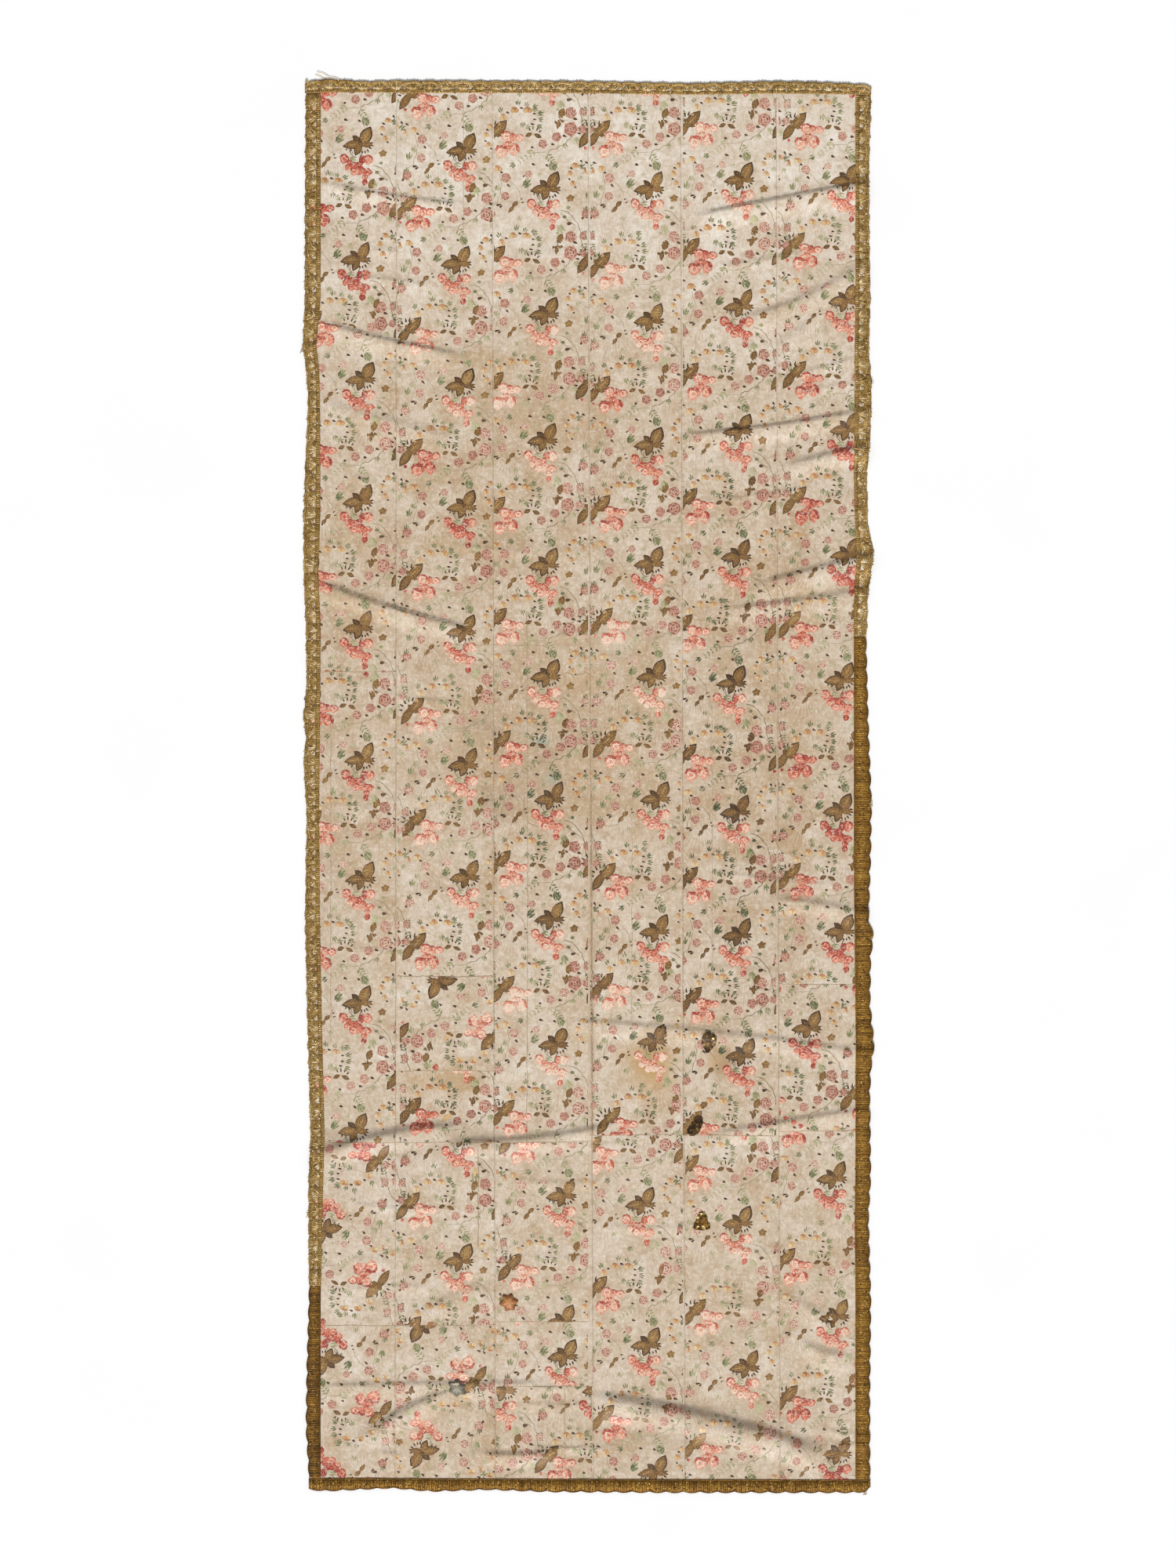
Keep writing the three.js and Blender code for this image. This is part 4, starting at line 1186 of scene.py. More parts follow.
THREADS = {
    "gold": brocade_thread(
        "gilt_brocade_browned",
        [(0, "#3A2610"), (0.3, "#6C4C26"), (0.6, "#946E3C"), (1, "#CCAC72")],
        metal=0.1, worn=0.08, mottle=1.4,
    ),
    "dark": brocade_thread(
        "brown_silk_thread", [(0, "#2E1E0E"), (0.5, "#583C1C"), (1, "#8A683C")], worn=0.14
    ),
    "coral": brocade_thread(
        "coral_silk_thread",
        [(0, "#8E3024"), (0.25, "#BE5842"), (0.5, "#D27F64"), (0.75, "#DEA78A"), (1, "#ECD6C0")],
        worn=0.72, silk="#E0CDB9", mottle=1.7,
    ),
    "rose": brocade_thread(
        "rose_silk_thread",
        [(0, "#64332A"), (0.35, "#A0624F"), (0.65, "#C6957F"), (1, "#E2CAB6")],
        worn=0.4,
    ),
    "bud": brocade_thread(
        "yellow_silk_thread",
        [(0, "#8C5630"), (0.35, "#BA8050"), (0.65, "#CCA670"), (1, "#DECBA4")],
        worn=0.45, mottle=0.9,
    ),
    "green": brocade_thread(
        "green_silk_thread",
        [(0, "#43482C"), (0.35, "#6A6E46"), (0.65, "#929064"), (1, "#BCB68E")],
        worn=0.55, mottle=1.0,
    ),
    "stem": brocade_thread(
        "stem_silk_thread", [(0, "#443C28"), (0.5, "#827658"), (1, "#B0A488")], worn=0.65
    ),
    # The self-coloured figures are the ground's own silk painted lighter: a painted sheen.
    "relief": silk_ground("self_coloured_silk_figure", 0.14),
}
flowers = {}
PIECE_NAMES = {
    "gold": "gold_leaves", "dark": "dark_drops", "coral": "coral_flowers", "rose": "roses",
    "bud": "yellow_buds", "green": "greenery", "stem": "stems", "relief": "ground_figures",
}
for thread, shape in flat_cloth.items():
    mesh = drape(shape, PIECE_NAMES[thread])
    if thread == "relief":
        lie = vertex_places(mesh)
        write_stains_and_fold_shade(mesh, lie[:, 0] / UNIT + MIDDLE_ACROSS, MIDDLE_DOWN - lie[:, 1] / UNIT)
    flowers[thread] = new_piece(PIECE_NAMES[thread], mesh, THREADS[thread])
print("faces after draping:", {p.name: len(p.data.polygons) for p in flowers.values()})

# %% [markdown]
# ## The metal lace
#
# Both laces are a narrow woven ground with thread laid over it. The openwork lace has a slot in
# each repeat, where the silk shows, and a fan of rays that opens on a scalloped outer cord. The
# close lace is ribbed from edge to edge. Every cord is one flattened tube, bent along its path;
# a lace is thousands of them, so they are stamped as arrays like the flowers.

# %% Cords and the lie of the lace


def tube_pattern(sides, lengths):
    shape = bmesh.new()
    bmesh.ops.create_cone(shape, cap_ends=True, segments=sides, radius1=1, radius2=1, depth=2)
    for k in range(1, lengths):
        bmesh.ops.bisect_plane(
            shape, geom=shape.verts[:] + shape.edges[:] + shape.faces[:],
            plane_co=(0, 0, -1 + 2 * k / lengths), plane_no=(0, 0, 1),
        )
    return pattern_arrays(shape)


SHORT_CORD = tube_pattern(4, 2)
LONG_CORD = tube_pattern(4, 8)


def lay_cord(drawn, pattern, path, radius, tone, low, thick=0.3):
    """One cord along a path of (across, down) places. low is the height of its middle in mm."""
    points, triangles = pattern
    path = np.asarray(path, dtype=float)
    share = (points[:, 2] + 1) / 2 * (len(path) - 1)
    steps = np.arange(len(path))
    across = np.interp(share, steps, path[:, 0])
    down = np.interp(share, steps, path[:, 1])
    run_across = np.interp(share, steps, np.gradient(path[:, 0]))
    run_down = np.interp(share, steps, np.gradient(path[:, 1]))
    size = np.hypot(run_across, run_down) + 1e-9
    side_across, side_down = -run_down / size, run_across / size
    across = across + side_across * points[:, 0] * radius
    down = down + side_down * points[:, 0] * radius
    height = (low + points[:, 1] * thick) / 1000
    places = np.column_stack([to_x(across), to_y(down), height])
    add_shape(drawn, places, triangles[:, ::-1], tone)


def lace_lie(outer, inner, at_side):
    """Place on a lace: along it in grid units, and 0 at its inner edge to 1 at its outer."""
    def lie(along, share):
        along, share = np.broadcast_arrays(np.asarray(along, float), np.asarray(share, float))
        over = inner(along) + (outer(along) - inner(along)) * share
        return (over, along) if at_side else (along, over)
    return lie


top_outer, top_inner = edge_line(TOP_EDGE, 1), edge_line(TOP_EDGE, 2)
bottom_outer, bottom_inner = edge_line(BOTTOM_EDGE, 1), edge_line(BOTTOM_EDGE, 2)
left_lie = lace_lie(left_outer, left_inner, True)
right_lie = lace_lie(right_outer, right_inner, True)
top_lie = lace_lie(top_outer, top_inner, False)
bottom_lie = lace_lie(bottom_outer, bottom_inner, False)


def lace_low(lie, along):
    """Height of the lace's underside: clear of the silk at the lace's inner edge."""
    across, down = lie(along, 0.0)
    return silk_face(across, down) + GAP


print("left lace at 640 down:", [round(float(v), 1) for v in left_lie(640, 1.0)])

# %% Woven ground of a lace
# Thickness of the woven part, and how deep the close lace is scalloped for its width
LACE_GROUND = LACE_THICK * 0.6
SCALLOP = 0.13


def lace_ground(name, lie, start, end, pitch_wanted, scalloped):
    """The flat woven part: a grid along the lace, its slots cut out, then given thickness."""
    repeats = round((end - start) / pitch_wanted)
    pitch = (end - start) / repeats
    rows_each = 8 if scalloped else 6
    shares = [0, 0.25, 0.5, 0.75, 1] if scalloped else [0, 0.12, 0.3, 0.54, 0.78, 1]
    shape = bmesh.new()
    bmesh.ops.create_grid(
        shape, x_segments=len(shares) - 1, y_segments=repeats * rows_each, size=1
    )
    if not scalloped:
        gone = []
        for face in shape.faces:
            middle = face.calc_center_median()
            column = int((middle.x + 1) / 2 * (len(shares) - 1))
            turn = ((1 - middle.y) / 2 * repeats) % 1
            if column == 2 and turn > 0.55:
                gone.append(face)
        bmesh.ops.delete(shape, geom=gone, context="FACES")
    mesh = mesh_of(shape, name)
    places = vertex_places(mesh)
    column = np.round((places[:, 0] + 1) / 2 * (len(shares) - 1)).astype(int)
    along = start + (1 - places[:, 1]) / 2 * (end - start)
    wave = np.abs(np.sin(np.pi * (along - start) / pitch))
    tuck = (SCALLOP if scalloped else 0.05) * (1 - wave)
    share = np.array(shares)[column] * (1 - tuck)
    across, down = lie(along, share)
    height = lace_low(lie, along) + LACE_GROUND
    places = np.column_stack([to_x(across), to_y(down), height])
    mesh.vertices.foreach_set("co", places.ravel())
    write_values(mesh, "tone", 0.35 + 0.15 * np.sin(along / 3.7) * np.cos(share * 9))
    return mesh, repeats, pitch


def upward(mesh):
    """Turns a sheet over if it was laid face down."""
    mesh.update()
    if sum(face.normal.z for face in mesh.polygons) < 0:
        mesh.flip_normals()
    return mesh


print("woven ground of the laces in mm:", round(LACE_GROUND * 1000, 2))

# %% Metal thread of both laces


def metal_lace(name, stops, fleck_scale, glint):
    """Gilt thread on a silk core, tarnished: light where it is rubbed, brown in the hollows."""
    lace = new_material(name)
    where = add_node(lace, "ShaderNodeTexCoord", output="Object")
    tone = add_node(lace, "ShaderNodeAttribute", output="Fac", attribute_name="tone")
    fleck = add_node(
        lace, "ShaderNodeTexNoise", {"Vector": where, "Scale": fleck_scale, "Detail": 4}
    )
    broad = add_node(lace, "ShaderNodeTexNoise", {"Vector": where, "Scale": 30, "Detail": 3})
    flecked = add_node(lace, "ShaderNodeMath", [fleck, 0.9, tone], operation="MULTIPLY_ADD")
    summed = add_node(lace, "ShaderNodeMath", [broad, 0.5, flecked], operation="MULTIPLY_ADD")
    centred = add_node(lace, "ShaderNodeMath", [summed, 0.7], operation="SUBTRACT")
    gilt = add_node(lace, "ShaderNodeValToRGB", [centred], stops)
    shine = add_node(lace, "ShaderNodeMapRange", [fleck, 0.4, 0.7, 0.65, glint])
    bump = add_node(lace, "ShaderNodeBump", {"Strength": 0.4, "Distance": 0.0005, "Height": fleck})
    dress(lace, {"Base Color": gilt, "Roughness": shine, "Metallic": 0.35, "Normal": bump})
    return lace


openwork_gilt = metal_lace(
    "tarnished_openwork_lace",
    [(0, "#5A441C"), (0.3, "#957338"), (0.55, "#B89656"), (0.8, "#D8BA84"), (1, "#EEDDBC")],
    330, 0.35,
)
close_gilt = metal_lace(
    "tarnished_close_lace",
    [(0, "#4E340E"), (0.35, "#80591A"), (0.65, "#A27628"), (0.88, "#BE943C"), (1, "#E2C680")],
    300, 0.4,
)
print("lace materials:", [openwork_gilt.name, close_gilt.name])

# %% Cords of both laces
# Nine even steps from 0 to 1, along one cord or one repeat
STEPS = np.linspace(0, 1, 9)


def cord_layer(drawn, lie, usual_rise, usual_thick, darker=0.0):
    """A function that lays one cord, by places along the lace and across it."""
    def lay(pattern, along, share, radius, tone, rise=usual_rise, thick=usual_thick):
        path = np.column_stack(lie(along, share))
        low = float(lace_low(lie, float(np.mean(along)))) * 1000
        lay_cord(drawn, pattern, path, radius, tone - darker, low + rise, thick)
    return lay


print("places along a long cord:", len(STEPS))


def openwork_cords(lie, start, pitch, repeats):
    """Edging cords, a fan of rays on each repeat, and a scalloped outer cord."""
    drawn = empty_drawing()
    lay = cord_layer(drawn, lie, 0.72, 0.28)
    for k in range(repeats):
        first = start + k * pitch
        whole = first + STEPS * pitch
        for share, tone in ((0.05, 0.4), (0.22, 0.3)):
            lay(LONG_CORD, whole, share + 0.02 * np.sin(STEPS * 12), 0.9,
                tone + chance.gauss(0, 0.08))
        for j in range(8):
            place = first + (j + 0.5) / 8 * pitch
            lay(SHORT_CORD, (place, place + 0.5), (0.0, 0.26), 0.8,
                0.45 + chance.gauss(0, 0.16), 0.8, 0.2)
        scallop = 0.84 + 0.1 * np.sin(np.pi * STEPS)
        lay(LONG_CORD, whole, scallop, 1.0, 0.42 + chance.gauss(0, 0.1), 0.85)
        lay(LONG_CORD, whole, scallop - 0.13, 0.8, 0.5 + chance.gauss(0, 0.08))
        heart = first + pitch * 0.5
        for turn in np.linspace(-1.25, 1.25, 9):
            reach = pitch * 0.42 * math.sin(turn)
            far = 0.32 + 0.44 * math.cos(turn)
            lay(SHORT_CORD, (heart + reach * 0.15, heart + reach), (0.26, far), 0.75,
                0.62 + chance.gauss(0, 0.2), 0.85, 0.25)
        for j in range(9):
            place = first + (j + 0.5) / 9 * pitch
            edge = 0.88 + 0.07 * math.sin(math.pi * (j + 0.5) / 9)
            lay(SHORT_CORD, (place, place + chance.uniform(-1.2, 1.2)),
                (edge - 0.14, edge + chance.uniform(0, 0.12)), 0.8,
                0.4 + chance.gauss(0, 0.2), 0.7)
        for j in range(9):
            place = first + chance.uniform(0, pitch)
            share = chance.uniform(0.25, 0.85)
            lean = chance.uniform(-2.2, 2.2)
            lay(SHORT_CORD, (place, place + lean), (share, share + chance.uniform(-0.16, 0.16)),
                chance.uniform(0.5, 0.9), chance.choice((0.1, 0.5, 0.95, 1.0)), 0.95, 0.22)
    return drawn


def close_cords(lie, start, end, pitch, repeats, darker):
    """Ribs from edge to edge with stray threads, then an edging cord on each side."""
    drawn = empty_drawing()
    lay = cord_layer(drawn, lie, 0.66, 0.3, darker)
    place = start + 1.2
    while place < end - 1:
        wave = abs(math.sin(math.pi * (place - start) / pitch))
        far = 1 - SCALLOP * (1 - wave)
        lay(SHORT_CORD, (place, place + chance.uniform(-0.6, 0.6)), (0.02, far), 1.3,
            0.5 + chance.gauss(0, 0.1), 0.6)
        for _ in range(2):
            share = chance.uniform(0.1, 0.8)
            lay(SHORT_CORD, (place, place + chance.uniform(-1.6, 1.6)),
                (share, share + chance.uniform(0.05, 0.16)), 0.7,
                chance.choice((0.05, 0.45, 0.8)), 0.86, 0.2)
        place += 2.3
    wave = np.abs(np.sin(np.pi * STEPS))
    for k in range(repeats):
        first = start + k * pitch
        whole = first + STEPS * pitch
        lay(LONG_CORD, whole, 0.97 * (1 - SCALLOP * (1 - wave)), 0.9,
            0.12 + chance.gauss(0, 0.05), 0.75)
        lay(LONG_CORD, whole, 0.05, 0.9, 0.3 + chance.gauss(0, 0.06))
        # Two small bits in each repeat are painted at full brightness, also on the darker lace:
        # painted glints.
        for _ in range(2):
            glint_spot = first + chance.uniform(0, pitch)
            share = chance.uniform(0.15, 0.85)
            lay(SHORT_CORD, (glint_spot - 0.6, glint_spot + 0.6), (share, share), 0.7, 1.0 + darker, 1.0, 0.25)
    return drawn


# %% Openwork lace above and close lace below
# Where the two laces meet on each side, and half the gap between them
LEFT_JOIN = 1640.0
RIGHT_JOIN = 812.0
HALF_GAP = 0.11
# Length of one repeat, in grid units
OPENWORK_PITCH = 21.0
CLOSE_PITCH = 21.5
# Piece, node, lie, start and end along it, width in metres, how much darker than the others
LACES = [
    ("openwork_lace_left", "lace_left_upper", left_lie, 119.5, LEFT_JOIN - HALF_GAP, 0.026, 0),
    ("openwork_lace_right", "lace_right_upper", right_lie, 121.4, RIGHT_JOIN - HALF_GAP, 0.026, 0),
    ("openwork_lace_top", "lace_top", top_lie, 389.0, 1111.0, 0.021, 0),
    ("close_lace_left", "lace_left_lower", left_lie, LEFT_JOIN + HALF_GAP, 1884.6, 0.027, 0.16),
    ("close_lace_right", "lace_right_lower", right_lie, RIGHT_JOIN + HALF_GAP, 1886.6, 0.027, 0),
    ("close_lace_bottom", "lace_bottom", bottom_lie, 394.0, 1110.0, 0.023, 0),
]
for name, node, lie, start, end, wide, darker in LACES:
    close = name.startswith("close")
    wanted = CLOSE_PITCH if close else OPENWORK_PITCH
    mesh, repeats, pitch = lace_ground(name, lie, start, end, wanted, close)
    if close:
        drawn = close_cords(lie, start, end, pitch, repeats, darker)
        slot, gilt, covered = "close_lace", close_gilt, 0.95
    else:
        drawn = openwork_cords(lie, start, pitch, repeats)
        slot, gilt, covered = "openwork_lace", openwork_gilt, 0.88
    ground = new_piece(name, upward(mesh), gilt, node)
    thicken(ground, LACE_GROUND)
    cords = new_piece(name + "_cords", drawing_mesh(drawn, name + "_cords"), gilt)
    print(name, "cords:", len(drawn["points"]))

# %% [markdown]
# ## Patches sewn over worn places
#
# Three are small pieces of metal spangles, set in overlapping rows on a cloth ground; two are
# silk leaves, one grey and one orange, with darker veins.

# %% Patches
PATCH_THICK = 0.0009
SPANGLE_RADIUS = 1.7
SPANGLE_LIFT = 0.0004
SPANGLE_TIP = 0.0003
# name, node, place, turn in degrees, size across and down, outline
PATCHES = [
    ("spangles_upper", "bead_patch_upper", (904, 1329), 8, (22, 27), "shield"),
    ("spangles_middle", "bead_patch_middle", (888, 1437), 0, (24, 27), "pair"),
    ("spangles_lower", "bead_patch_lower", (895, 1559), 0, (26, 29), "triangle"),
    ("silk_leaf_grey", "leaf_patch_grey", (583, 1770), 35, (27, 24), "lobed"),
    ("silk_leaf_orange", "leaf_patch_orange", (649, 1661), -10, (25, 27), "lobed"),
]
# Distance from the middle every 30 degrees, from the right round by the upper end
PATCH_OUTLINES = {
    "shield": [0.8, 0.95, 0.95, 0.85, 0.95, 0.95, 0.8, 0.72, 0.8, 1, 0.8, 0.72],
    "pair": [0.55, 0.8, 1.1, 1, 0.6, 0.55, 0.75, 1.1, 1, 0.7, 0.6, 0.5],
    "triangle": [0.62, 0.56, 0.7, 1, 0.7, 0.56, 0.62, 0.98, 0.74, 0.7, 0.74, 0.98],
    "lobed": [1, 0.66, 0.9, 0.64, 0.95, 0.68, 1, 0.62, 0.88, 0.7, 0.9, 0.64],
}
PATCH_DISC = disc_pattern(48, (0.9, 0.7, 0.5, 0.25))


def patch_reach(outline, x, y):
    reach = PATCH_OUTLINES[outline]
    angle = np.degrees(np.arctan2(y, x)) % 360
    return np.interp(angle, np.arange(0, 361, 30), [*reach, reach[0]])


def patch_place(patch, x, y):
    """Turns a place on the patch, x right and y up from -1 to 1, into across and down."""
    (middle_across, middle_down), turn, (wide, tall) = patch[2:5]
    spin = math.radians(turn)
    side, drop = x * wide / 2, -y * tall / 2
    across = middle_across + side * math.cos(spin) - drop * math.sin(spin)
    down = middle_down + side * math.sin(spin) + drop * math.cos(spin)
    return across, down


def patch_ground(patch, material):
    points, triangles = PATCH_DISC
    x, y = points[:, 0], points[:, 1]
    reach = patch_reach(patch[5], x, y)
    across, down = patch_place(patch, x * reach, y * reach)
    height = silk_face(across, down) + GAP + PATCH_THICK
    places = np.column_stack([to_x(across), to_y(down), height])
    mesh = bpy.data.meshes.new(patch[0])
    mesh.from_pydata(places.tolist(), [], triangles.tolist())
    centre = 1 - np.hypot(x, y)
    vein = np.abs(np.sin(np.arctan2(y, x) * 3)) < 0.25
    write_values(mesh, "tone", 0.45 + 0.3 * centre - 0.25 * vein - 0.3 * (centre < 0.12))
    piece = new_piece(patch[0], upward(mesh), material, patch[1])
    thicken(piece, PATCH_THICK)
    return piece


def spangle_rows(patch, light):
    """Small round spangles in overlapping rows, each tipped a little."""
    drawn = empty_drawing()
    points, triangles = SHAPES["round"]
    for row in range(-5, 6):
        for column in range(-5, 6):
            x = (column + 0.5 * (row % 2)) * 0.2
            y = row * 0.18
            if math.hypot(x, y) > float(patch_reach(patch[5], x, y)) * 0.95:
                continue
            x, y = x + chance.gauss(0, 0.03), y + chance.gauss(0, 0.03)
            across, down = patch_place(patch, x, y)
            across += points[:, 0] * SPANGLE_RADIUS
            down = down - points[:, 1] * SPANGLE_RADIUS
            tip = chance.uniform(-0.6, 0.6)
            height = silk_face(across, down) + GAP + PATCH_THICK + SPANGLE_LIFT
            height = height + points[:, 1] * SPANGLE_TIP + points[:, 0] * SPANGLE_TIP * tip
            places = np.column_stack([to_x(across), to_y(down), height])
            add_shape(drawn, places, triangles, chance.gauss(light, 0.3))
    return drawn


def spangle_metal(name, stops):
    """Old gilt metal, dark in the hollows, each spangle with its own tone."""
    metal = new_material(name)
    tone = add_node(metal, "ShaderNodeAttribute", output="Fac", attribute_name="tone")
    where = add_node(metal, "ShaderNodeTexCoord", output="Object")
    fleck = add_node(metal, "ShaderNodeTexNoise", {"Vector": where, "Scale": 500, "Detail": 3})
    flecked = add_node(metal, "ShaderNodeMath", [fleck, 0.5, tone], operation="MULTIPLY_ADD")
    centred = add_node(metal, "ShaderNodeMath", [flecked, 0.25], operation="SUBTRACT")
    gilt = add_node(metal, "ShaderNodeValToRGB", [centred], stops)
    dress(metal, {"Base Color": gilt, "Metallic": 0.6, "Roughness": 0.42})
    return metal


dark_spangles = spangle_metal(
    "tarnished_spangles", [(0, "#261706"), (0.5, "#4C3412"), (0.85, "#785A26"), (1, "#C4A860")]
)
gold_spangles = spangle_metal(
    "gilt_spangles", [(0, "#321F06"), (0.5, "#6A4814"), (0.85, "#A47C2C"), (1, "#EED68A")]
)
grey_silk = brocade_thread(
    "grey_silk_leaf", [(0, "#5A564A"), (0.5, "#8A8472"), (1, "#B4AE98")], worn=0.2, silk="#A9A290"
)
orange_silk = brocade_thread(
    "orange_silk_leaf", [(0, "#7A441C"), (0.5, "#B4743C"), (1, "#DAA66C")], worn=0.25
)
# What each patch is made of, and how light its spangles are
PATCH_MAKE = {
    "bead_patch_upper": (dark_spangles, "dark_beadwork", 0.3),
    "bead_patch_middle": (dark_spangles, "dark_beadwork", 0.3),
    "bead_patch_lower": (gold_spangles, "gold_beadwork", 0.5),
    "leaf_patch_grey": (grey_silk, "grey_silk", None),
    "leaf_patch_orange": (orange_silk, "orange_silk", None),
}
for patch in PATCHES:
    material, slot, light = PATCH_MAKE[patch[1]]
    ground = patch_ground(patch, material)
    if light:
        rows = drawing_mesh(spangle_rows(patch, light), patch[0] + "_rows")
        new_piece(patch[0] + "_rows", upward(rows), material)
print("patches:", [patch[0] for patch in PATCHES])

# %% [markdown]
# ## Seams within the widths, and loose threads
#
# The scraps are joined by fine seams. Each shows as a thin turned edge with a shadow beside it,
# so both are drawn as one narrow raised band in a darker cream, draped like the flowers: its
# darkness is partly the turned edge and partly painted shadow. At the edges of the lace some
# threads have frayed.

# %% Seam lines
# Path of each seam, its width in grid units and its shade
SEAM_PATHS = [
    ([(422, 920), (422, 1330)], 0.9, 0.45), ([(591, 130), (591, 400)], 0.8, 0.6),
    ([(672, 780), (673, 1100), (672, 1457)], 0.9, 0.4), ([(610, 1465), (610, 1590)], 1.2, 0.3),
    ([(720, 1770), (721, 1884)], 1.0, 0.4), ([(806, 1010), (806, 1320)], 0.8, 0.55),
    ([(887, 430), (888, 700)], 0.7, 0.6), ([(908, 900), (909, 1250)], 0.8, 0.55),
    ([(555, 823), (630, 823), (700, 824)], 1.0, 0.45), ([(409, 857), (505, 857)], 1.0, 0.4),
    ([(508, 1245), (580, 1246), (632, 1245)], 1.2, 0.3), ([(508, 1366), (632, 1366)], 0.9, 0.45),
    ([(412, 1457), (505, 1457), (632, 1457), (751, 1456)], 1.2, 0.3),
    ([(752, 1448), (870, 1447), (992, 1449), (1027, 1449)], 1.1, 0.35),
    ([(412, 1690), (505, 1691), (632, 1690)], 1.1, 0.35),
    ([(633, 1686), (751, 1686)], 0.9, 0.45), ([(633, 1768), (755, 1768)], 0.9, 0.45),
    ([(992, 1255), (1090, 1256)], 1.0, 0.4), ([(994, 1443), (1090, 1442)], 1.0, 0.4),
    ([(629, 900), (630, 1457)], 0.9, 0.55), ([(754, 1010), (756, 1448)], 1.6, 0.3),
    ([(505, 860), (505, 1457)], 0.9, 0.6), ([(870, 900), (871, 1400)], 0.8, 0.6),
    ([(992, 1000), (993, 1500)], 0.8, 0.6),
    # Edges of two old stains
    ([(815, 1016), (806, 1020), (797, 1030), (796, 1042), (788, 1052), (778, 1054), (760, 1052)],
     1.5, 0.5),
    ([(669, 1017), (668, 1034), (674, 1050), (686, 1055)], 1.6, 0.5),
    ([(724, 858), (731, 862), (738, 860), (748, 858), (757, 864)], 1.4, 0.4),
]
THREAD_LIFT["seam"] = 0.3
seam_drawing = empty_drawing()
for path, width, shade in SEAM_PATHS:
    for (from_across, from_down), (to_across, to_down) in zip(path, path[1:]):
        run = (to_across - from_across, to_down - from_down)
        pieces = max(1, round(math.hypot(*run) / 7))
        for k in range(pieces):
            wobble = 0.3 * math.sin((from_down + from_across + k * 7) / 9)
            ends = [
                (from_across + run[0] * share + wobble, from_down + run[1] * share + wobble)
                for share in (k / pieces, (k + 1) / pieces)
            ]
            stamp(seam_drawing, leaf("seam", "band", *ends, width, shade), (0, 0), 1, 0)
seam_shape = bmesh.new()
seam_shape.from_mesh(drawing_mesh(seam_drawing, "seam_flat"))
# The seams' darker cream is painted shadow beside the turned edge; on the stain edges it is the
# stains' own tide line.
seam_silk = brocade_thread(
    "turned_edge_painted_shadow_and_tide_line", [(0, "#80684A"), (0.5, "#AE9678"), (1, "#CDBCA2")], worn=0.6
)
seams = new_piece("seam_edges", drape(seam_shape, "seam_edges"), seam_silk)
print("seam faces:", len(seams.data.polygons))

# %% Frayed threads
# Place, direction it frays in (across, down), length, how many threads
TUFTS = [
    ((388, 443), (-1, 0.2), 5, 10), ((394, 1548), (-1, 0.3), 4, 7), ((1110, 1026), (1, 0), 5, 8),
    ((1112, 1194), (1, 0.1), 4, 7), ((390, 108), (-0.7, -1), 4, 6), ((1110, 1334), (1, -0.2), 4, 6),
    ((1112, 704), (1, 0.1), 4, 6), ((391, 916), (-1, 0), 4, 6), ((1111, 488), (1, 0.2), 4, 5),
    ((1104, 1902), (0.6, 1), 3, 5), ((389, 658), (-1, -0.2), 3, 5), ((392, 1042), (-1, 0), 3, 4),
]
frayed = empty_drawing()
for place, (lean_across, lean_down), length, count in TUFTS:
    height = float(silk_face(*place)) * 1000 + 1.2
    for _ in range(count):
        reach = length * chance.uniform(0.5, 1)
        swing = chance.uniform(-0.9, 0.9)
        from_across = place[0] - lean_across * 2 + chance.uniform(-1.5, 1.5)
        from_down = place[1] + chance.uniform(-4, 4)
        across = from_across + STEPS * reach * lean_across + 1.2 * np.sin(STEPS * 4 + swing)
        down = from_down + STEPS * reach * (lean_down + swing) + 0.8 * np.cos(STEPS * 5)
        lay_cord(frayed, LONG_CORD, np.column_stack([across, down]), 0.4,
                 chance.uniform(0.1, 0.9), height, 0.3)
for start, end in (((404, 92), (420, 99)), ((402, 96), (416, 104)), ((420, 99), (434, 103))):
    across = start[0] + (end[0] - start[0]) * STEPS
    down = start[1] + (end[1] - start[1]) * STEPS - 1.5 * np.sin(STEPS * 3.1)
    lay_cord(frayed, LONG_CORD, np.column_stack([across, down]), 0.45, 0.9, 2.4, 0.3)
threads = new_piece(
    "frayed_threads", drawing_mesh(frayed, "frayed_threads"), openwork_gilt
)
print("frayed threads:", len(frayed["points"]))

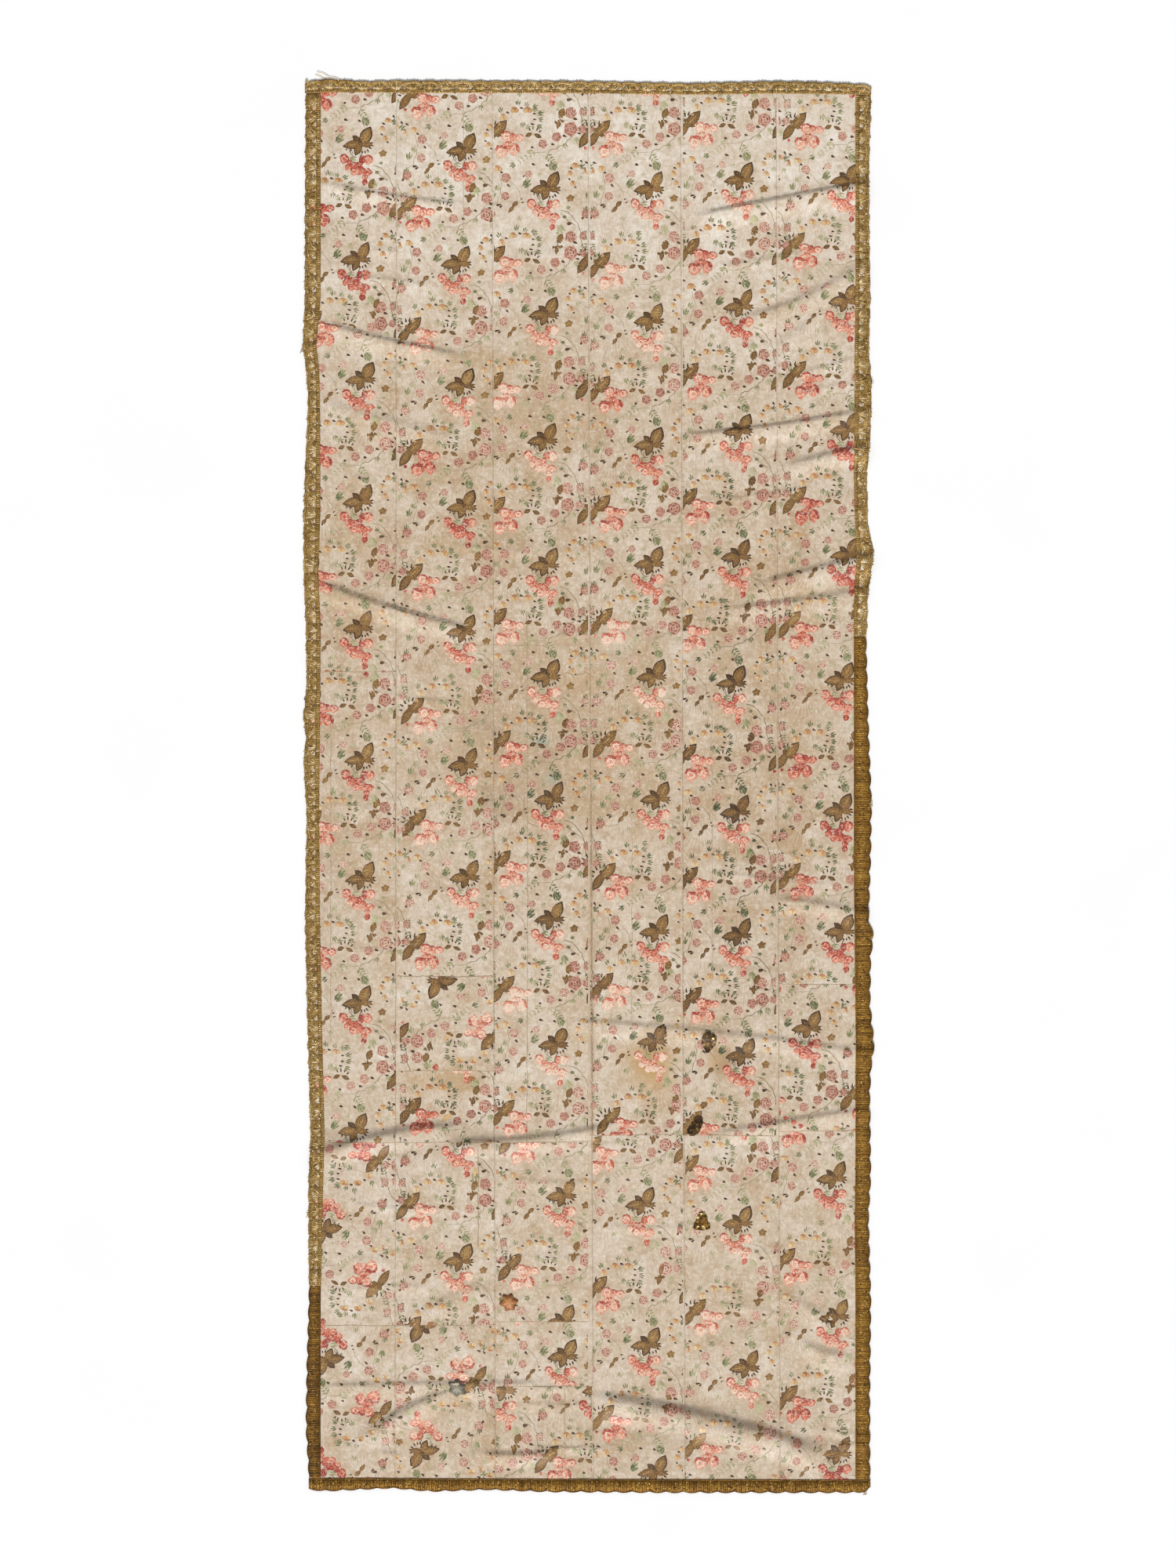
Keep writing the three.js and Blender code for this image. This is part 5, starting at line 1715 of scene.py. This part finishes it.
# %% [markdown]
# ## Stage, light and camera
#
# The panel lies on a plain white floor. A soft sun stands 40 degrees high over its lower end, so
# each fold is bright below and dark above, and a white surround fills the shadows. The camera
# looks straight down.

# %% Floor, light and camera
floor_shape = bmesh.new()
bmesh.ops.create_grid(floor_shape, x_segments=1, y_segments=1, size=6)
floor_mesh = mesh_of(floor_shape, "floor")
floor = bpy.data.objects.new("floor", floor_mesh)
bpy.context.scene.collection.objects.link(floor)
# The floor is matt white paper, barely mottled
floor_white = new_material("white_paper_floor")
where = add_node(floor_white, "ShaderNodeTexCoord", output="Object")
paper = add_node(floor_white, "ShaderNodeTexNoise", {"Vector": where, "Scale": 3})
shade = add_node(
    floor_white, "ShaderNodeMix", {0: paper, 6: "#FAFAFA", 7: "#F6F6F6"}, output=2,
    data_type="RGBA",
)
dress(floor_white, {"Base Color": shade, "Roughness": 0.9})
floor_mesh.materials.append(floor_white)

sun_data = bpy.data.lights.new("low_sun", "SUN")
sun_data.energy = 3.0
sun_data.angle = math.radians(6)
sun = bpy.data.objects.new("low_sun", sun_data)
# Tipped 50 degrees from straight down, and a little to one side
sun.rotation_euler = (math.radians(50), 0, math.radians(-8))
bpy.context.scene.collection.objects.link(sun)

world = bpy.data.worlds.new("white_surround")
bpy.context.scene.world = world
world.use_nodes = True
world.node_tree.nodes["Background"].inputs["Color"].default_value = (1, 1, 1, 1)
world.node_tree.nodes["Background"].inputs["Strength"].default_value = 0.45

LENS = 85
SENSOR = 36
# The picture is 2000 grid units tall
PICTURE_TALL = 2000 * UNIT
camera_data = bpy.data.cameras.new("overhead_camera")
camera_data.lens = LENS
camera_data.sensor_width = SENSOR
camera_data.sensor_fit = "AUTO"
camera = bpy.data.objects.new("overhead_camera", camera_data)
camera.location = (to_x(750), to_y(1000), PICTURE_TALL * LENS / SENSOR)
bpy.context.scene.collection.objects.link(camera)
bpy.context.scene.camera = camera
bpy.context.scene.view_settings.view_transform = "Standard"
print("camera height in metres:", round(camera.location.z, 3))
